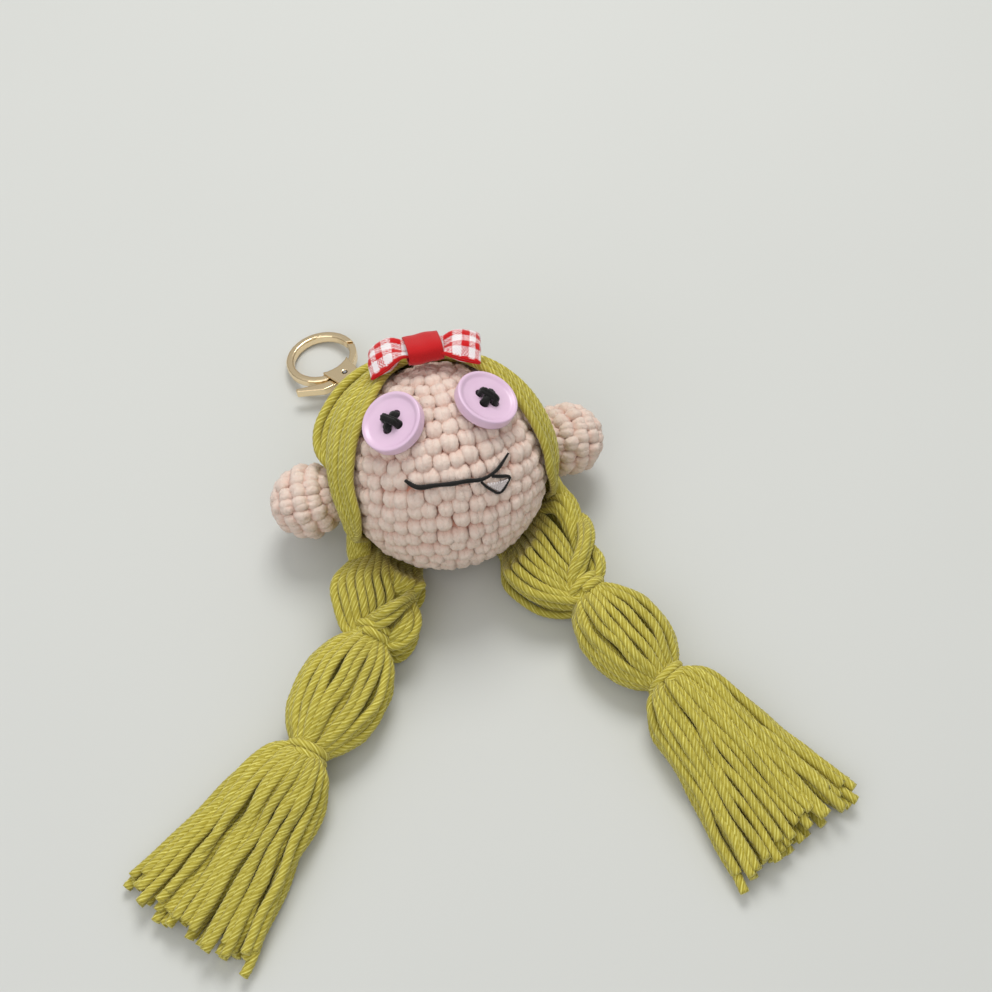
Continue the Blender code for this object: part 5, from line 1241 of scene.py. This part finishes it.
class DOLL_OT_mouth(bpy.types.Operator):
    """Embroiders the mouth and the tongue"""

    bl_idname = "doll.mouth"
    bl_label = "Mouth and tongue"

    def execute(self, context):
        lumps = np.random.default_rng(135).uniform(0.86, 1.16, MOUTH_LUMPS)
        self.line("Mouth_thread", MOUTH_STATIONS, 0.00060, MOUTH_SWELL, lumps, 0.00018)
        even = np.ones(MOUTH_LUMPS)
        self.line("Tongue_outline_thread", TONGUE_STATIONS, 0.00044, TONGUE_SWELL, even, 0.00008)
        skein = Skein(plies=3, lead=0.0022, groove=0.86, step=0.0003, seed=141)
        for share in np.linspace(0.04, 0.96, 8):
            upper = [a + (b - a) * share for a, b in zip(*TONGUE_TOP)]
            stations = [upper, [(a + b) / 2 for a, b in zip(upper, TONGUE_TIP)], TONGUE_TIP]
            points = [HEAD_CENTRE + heading(*station) * (HEAD_RADIUS + 0.0004) for station in stations]
            skein.lay(points, (0.00042, 0.00036, 0.00024))
        in_place(skein.object("Tongue_fill", finish_of("white")), "doll_head", ["tongue_fill"])
        return {"FINISHED"}

    def line(self, name, stations, radius, swell, lumps, wander):
        """One line of black thread on the face, whose thickness swells and has lumps."""
        skein = Skein(plies=4, lead=0.0026, groove=0.88, step=0.0003, seed=131)
        points = curve_through([heading(*station) for station in stations], 0.05)
        share = np.linspace(0, 1, len(points))
        radii = radius * np.interp(share, *swell)
        radii = radii * np.interp(share, np.linspace(0, 1, len(lumps)), lumps)
        points = np.array([HEAD_CENTRE + unit(p) * (HEAD_RADIUS + r) for p, r in zip(points, radii)])
        skein.lay(points, radii, wander=wander)
        in_place(skein.object(name, finish_of("black")), "doll_head", [name.lower()])


# Bow


class DOLL_OT_bow(bpy.types.Operator):
    """Folds the ribbon bow"""

    bl_idname = "doll.bow"
    bl_label = "Ribbon bow"

    def execute(self, context):
        middle = HEAD_CENTRE + heading(BOW_TILT, BOW_BEARING) * BOW_DISTANCE
        face = Matrix.Rotation(-radians(BOW_FACE_TILT), 4, "X") @ Matrix.Rotation(radians(BOW_TURN), 4, "Z")
        place = Matrix.Translation(Vector(middle)) @ face
        self.band(place @ Matrix.Rotation(radians(BOW_BAND_TURN), 4, "Z"))
        for word, side in SIDES.items():
            self.loop(place, word, side)
        return {"FINISHED"}

    def ribbon(self, name, place, surface, steps, across, finish, thick):
        """A closed ring of ribbon, whose points and cloth come from surface(share along, share across)."""
        points, uvs = [], []
        for i in range(steps):
            for j in range(across + 1):
                point, uv = surface(i / steps, j / across)
                points.append(place @ Vector(point))
                uvs.append(uv)
        width = across + 1
        quads, corner_uvs = [], []
        for i in range(steps):
            near, far = i * width, (i + 1) % steps * width
            for j in range(across):
                quads.append((near + j, near + j + 1, far + j + 1, far + j))
                corner_uvs += [uvs[near + j], uvs[near + j + 1]]
                corner_uvs += [surface((i + 1) / steps, (j + 1) / across)[1], surface((i + 1) / steps, j / across)[1]]
        made = mesh_object(name, points, quads, [], finish)
        layer = made.data.uv_layers.new(name="cloth")
        layer.data.foreach_set("uv", np.array(corner_uvs, np.float32).ravel())
        solid = made.modifiers.new("thickness", "SOLIDIFY")
        solid.thickness, solid.offset = thick, 0
        settle(made)
        return made

    def band(self, place):
        """The band round the bow's waist, a flat ring with rounded corners and shallow folds."""
        half, wide, high, squareness = 0.0046, 0.0047, 0.0028, 0.72
        edge_pull, fold_depth, folds = 0.05, 0.025, 3.3

        def surface(along, across):
            turn = 2 * pi * along
            x, y = cos(turn), sin(turn)
            y_out = wide * abs(x) ** squareness * (1 if x > 0 else -1)
            z_out = high * abs(y) ** squareness * (1 if y > 0 else -1)
            pinch = 1 - edge_pull * abs(2 * across - 1) ** 3 + fold_depth * sin(folds * pi * across + 2 * x)
            return ((2 * across - 1) * half, y_out * pinch, z_out * pinch), (across * 2 * half, along * 0.024)

        made = self.ribbon("Bow_band", place, surface, 72, 20, finish_of("ribbon"), 0.0004)
        in_place(made, "doll_head", ["bow_band"])

    def loop(self, place, word, side):
        """One loop of the bow: a ring of ribbon, pressed together along its edges and puffed up between them."""
        neck, length, drop = 0.0046, 0.0102, radians(BOW_LOOP_DROPS[word])
        inner, puffs_from, puff_share = 0.0006, 0.0056, 0.45
        least_height, more_height, tip_roundness, edge_height = 0.0022, 0.0042, 0.6, 0.06
        back_edge, front_edge, edge_drop = 0.34, 0.12, 0.0011
        neck_width, more_width = 0.0078, 0.0036
        fold_depth, bulge_depth = 0.0010, 0.0004

        def surface(along, across):
            turn = 2 * pi * along
            hand = 1 if sin(turn) > 0 else -1
            x = inner + (neck + length - inner) * (1 - cos(turn)) / 2
            swell = abs(sin(turn)) ** tip_roundness
            flare = min(max((x - puffs_from) / (neck + length - puffs_from), 0), 1)
            puff = min(max((x - puffs_from) / length, 0) / puff_share, 1)
            body = least_height + more_height * sin(puff * pi / 2)
            shut = smooth_step(across / back_edge) * smooth_step((1 - across) / front_edge)
            z = body / 2 * swell * hand * (edge_height + (1 - edge_height) * shut) - edge_drop * (1 - shut) * flare
            y = (2 * across - 1) * (neck_width + more_width * flare ** 0.5) / 2
            fold = fold_depth * (1 - 0.75 * flare) * cos(3 * pi * across) * hand * swell * shut
            z += fold + bulge_depth * flare * cos(pi * (across - 0.5)) * hand * swell
            beyond = max(x - neck, 0)
            lean = drop * min(beyond / length * 2, 1)
            out = side * (min(x, neck) + beyond * cos(lean) + z * sin(lean))
            return (out, y, z * cos(lean) - beyond * sin(lean)), (across * 0.0110 + 0.0009, along * 0.034)

        made = self.ribbon(f"Bow_loop_{word}", place, surface, 96, 20, finish_of("gingham"), 0.0005)
        in_place(made, "doll_head", [f"bow_{word}_loop"])


# Clasp


class DOLL_OT_hanging_loop(bpy.types.Operator):
    """Runs the yarn loop from the crown round the swivel eye"""

    bl_idname = "doll.hanging_loop"
    bl_label = "Hanging loop"

    def execute(self, context):
        wire = CLASP_PLACE - HEAD_CENTRE
        out = heading(LOOP_ROOT_TILT, 0)
        bend = LOOP_YARN_RADIUS + SWIVEL_WIRE_RADIUS + LOOP_SLACK
        course = radians(CLASP_COURSE)
        flat, up = np.array((cos(course), sin(course), 0)), np.array((0, 0, 1.0))
        root = [out * (HEAD_RADIUS - 0.0025), out * (HEAD_RADIUS + 0.0036)]
        path = curve_through([*root, wire - flat * bend, wire], 0.0022)
        upper, lower = [], []
        for index, point in enumerate(path[:-1]):
            axis = unit(path[index + 1] - path[max(index - 1, 0)])
            lift = unit(up - axis * up.dot(axis))
            spread = LOOP_ROOT_SPREAD + (2 * bend - LOOP_ROOT_SPREAD) * index / (len(path) - 2)
            upper.append(point + lift * spread / 2)
            lower.append(point - lift * spread / 2)
        around = [wire + (flat * cos(a) + up * sin(a)) * bend for a in np.linspace(pi / 2, -pi / 2, 7)]
        points = np.array(upper + around + lower[::-1]) + HEAD_CENTRE
        skein = Skein(seed=151)
        skein.lay(points, LOOP_YARN_RADIUS)
        made = skein.object("Hanging_loop", finish_of("pink"))
        in_place(made, "doll_head", ["hanging_loop"])
        line = curve_through(points, 0.0005)
        return {"FINISHED"}


class DOLL_OT_clasp(bpy.types.Operator):
    """Plates the clasp"""

    bl_idname = "doll.clasp"
    bl_label = "Lobster clasp"

    def execute(self, context):
        for node in ("gate_pin", "gate_spring"):
            self.plate(node, "steel")
        for node in ("swivel_eye", "clasp_body", "gate_lever"):
            made = self.plate(node, "gold")
            # Casting and tumbling leave every edge round
            cast = made.modifiers.new("cast skin", "REMESH")
            cast.mode, cast.voxel_size, cast.use_smooth_shade = "VOXEL", 0.00016, True
            tumbled = made.modifiers.new("tumbled", "SMOOTH")
            tumbled.factor, tumbled.iterations = 0.5, 6
        return {"FINISHED"}

    def plate(self, node, key):
        """Gives a solid of the frame its metal."""
        made = frame["nodes"][node]
        for slot in made.material_slots:
            slot.material = finish_of(key)
        return made


# Stage


class DOLL_OT_stage(bpy.types.Operator):
    """Sets the camera at the photograph's angle, lays the table and sets the lamps"""

    bl_idname = "doll.stage"
    bl_label = "Camera, table and light"

    def execute(self, context):
        settings = context.scene.doll_stage
        data = bpy.data.cameras.new("Camera")
        data.sensor_width, data.lens = SENSOR_MILLIMETRES, FOCAL_PIXELS / PICTURE_PIXELS * SENSOR_MILLIMETRES
        context.scene.camera = in_scene("Camera", data)
        aim(context.scene.camera, CAMERA_PLACE, CAMERA_LOOKS_AT)
        self.table(settings)
        self.room(context.scene, settings)
        self.lamp("Window", WINDOW_PLACE, WINDOW_SIZE, settings.key_power, WINDOW_COLOUR)
        self.lamp("Fill", FILL_PLACE, FILL_SIZE, settings.key_power * FILL_SHARE, FILL_COLOUR)
        context.scene.view_settings.view_transform = "Standard"
        return {"FINISHED"}

    def table(self, settings):
        """A plain pale table top with a faint slow change of tone."""
        material, tree, shader = new_finish("Pale_table", Roughness=0.7, Specular_IOR_Level=0.3)
        place = add(tree, "ShaderNodeTexCoord")
        grain = add(tree, "ShaderNodeTexNoise", {"Vector": place.outputs["Object"], "Scale": 6.0, "Detail": 2.0})
        tones = {0: grain.outputs["Fac"], 6: tuple(settings.table_colour), 7: linear("D2D4D1")}
        colour = add(tree, "ShaderNodeMix", tones, data_type="RGBA")
        tree.links.new(colour.outputs[2], shader.inputs["Base Color"])
        half = TABLE_HALF_WIDTH
        points = [(-half, -half, 0), (half, -half, 0), (half, half, 0), (-half, half, 0)]
        mesh_object("Table", points, [(0, 1, 2, 3)], [], material)

    def room(self, scene, settings):
        """Light from all round that grows towards the ceiling."""
        world = bpy.data.worlds.new("Room")
        scene.world = world
        world.use_nodes = True
        tree = world.node_tree
        background = tree.nodes["Background"]
        where = add(tree, "ShaderNodeTexCoord")
        height = add(tree, "ShaderNodeSeparateXYZ", {"Vector": where.outputs["Generated"]})
        sky = {"Value": height.outputs["Z"], "From Min": 0.0, "From Max": 0.9, "To Min": 0.35, "To Max": 1.25}
        share = add(tree, "ShaderNodeMapRange", sky)
        shades = {0: share.outputs["Result"], 6: linear("000000"), 7: linear("F6F5F2")}
        room = add(tree, "ShaderNodeMix", shades, data_type="RGBA", clamp_factor=False)
        tree.links.new(room.outputs[2], background.inputs["Color"])
        background.inputs["Strength"].default_value = settings.sky_strength

    def lamp(self, name, place, size, power, colour):
        """A round soft lamp that shines on the middle of the table."""
        data = bpy.data.lights.new(name, "AREA")
        data.shape, data.size, data.energy, data.color = "DISK", size, power, linear(colour)[:3]
        aim(in_scene(name, data), place, (0, 0, 0))


def aim(made, place, target):
    """Puts a lamp or camera at its place and turns it to the target."""
    made.location = place
    made.rotation_mode = "QUATERNION"
    made.rotation_quaternion = (Vector(target) - made.location).to_track_quat("-Z", "Y")


STEPS = (
    DOLL_OT_stage, DOLL_OT_hanging_loop, DOLL_OT_head, DOLL_OT_ears, DOLL_OT_hair, DOLL_OT_plaits, DOLL_OT_bulbs,
    DOLL_OT_tassels, DOLL_OT_ties, DOLL_OT_eyes, DOLL_OT_mouth, DOLL_OT_bow, DOLL_OT_clasp,
)
GROUPS = {
    "doll_yarn": YarnSettings, "doll_crochet": CrochetSettings, "doll_trim": TrimSettings,
    "doll_stage": StageSettings,
}


class DOLL_PT_panel(bpy.types.Panel):
    """Lists the steps and their settings"""

    bl_idname = "DOLL_PT_panel"
    bl_label = "Yarn doll"
    bl_space_type = "VIEW_3D"
    bl_region_type = "UI"
    bl_category = "Yarn doll"

    def draw(self, context):
        for name, group in GROUPS.items():
            box = self.layout.box()
            for prop in group.__annotations__:
                box.prop(getattr(context.scene, name), prop)
        for step in STEPS:
            self.layout.operator(step.bl_idname)


def register():
    for made in (*GROUPS.values(), *STEPS, DOLL_PT_panel):
        bpy.utils.register_class(made)
    for name, group in GROUPS.items():
        setattr(bpy.types.Scene, name, PointerProperty(type=group))


def unregister():
    for name in GROUPS:
        delattr(bpy.types.Scene, name)
    for made in reversed((*GROUPS.values(), *STEPS, DOLL_PT_panel)):
        bpy.utils.unregister_class(made)


def main():
    register()
    for thing in list(bpy.data.objects):
        if thing.name in ("Cube", "Light", "Camera"):
            bpy.data.objects.remove(thing)
    for step in STEPS:
        getattr(bpy.ops.doll, step.bl_idname.split(".")[1])()


if __name__ == "__main__":
    main()
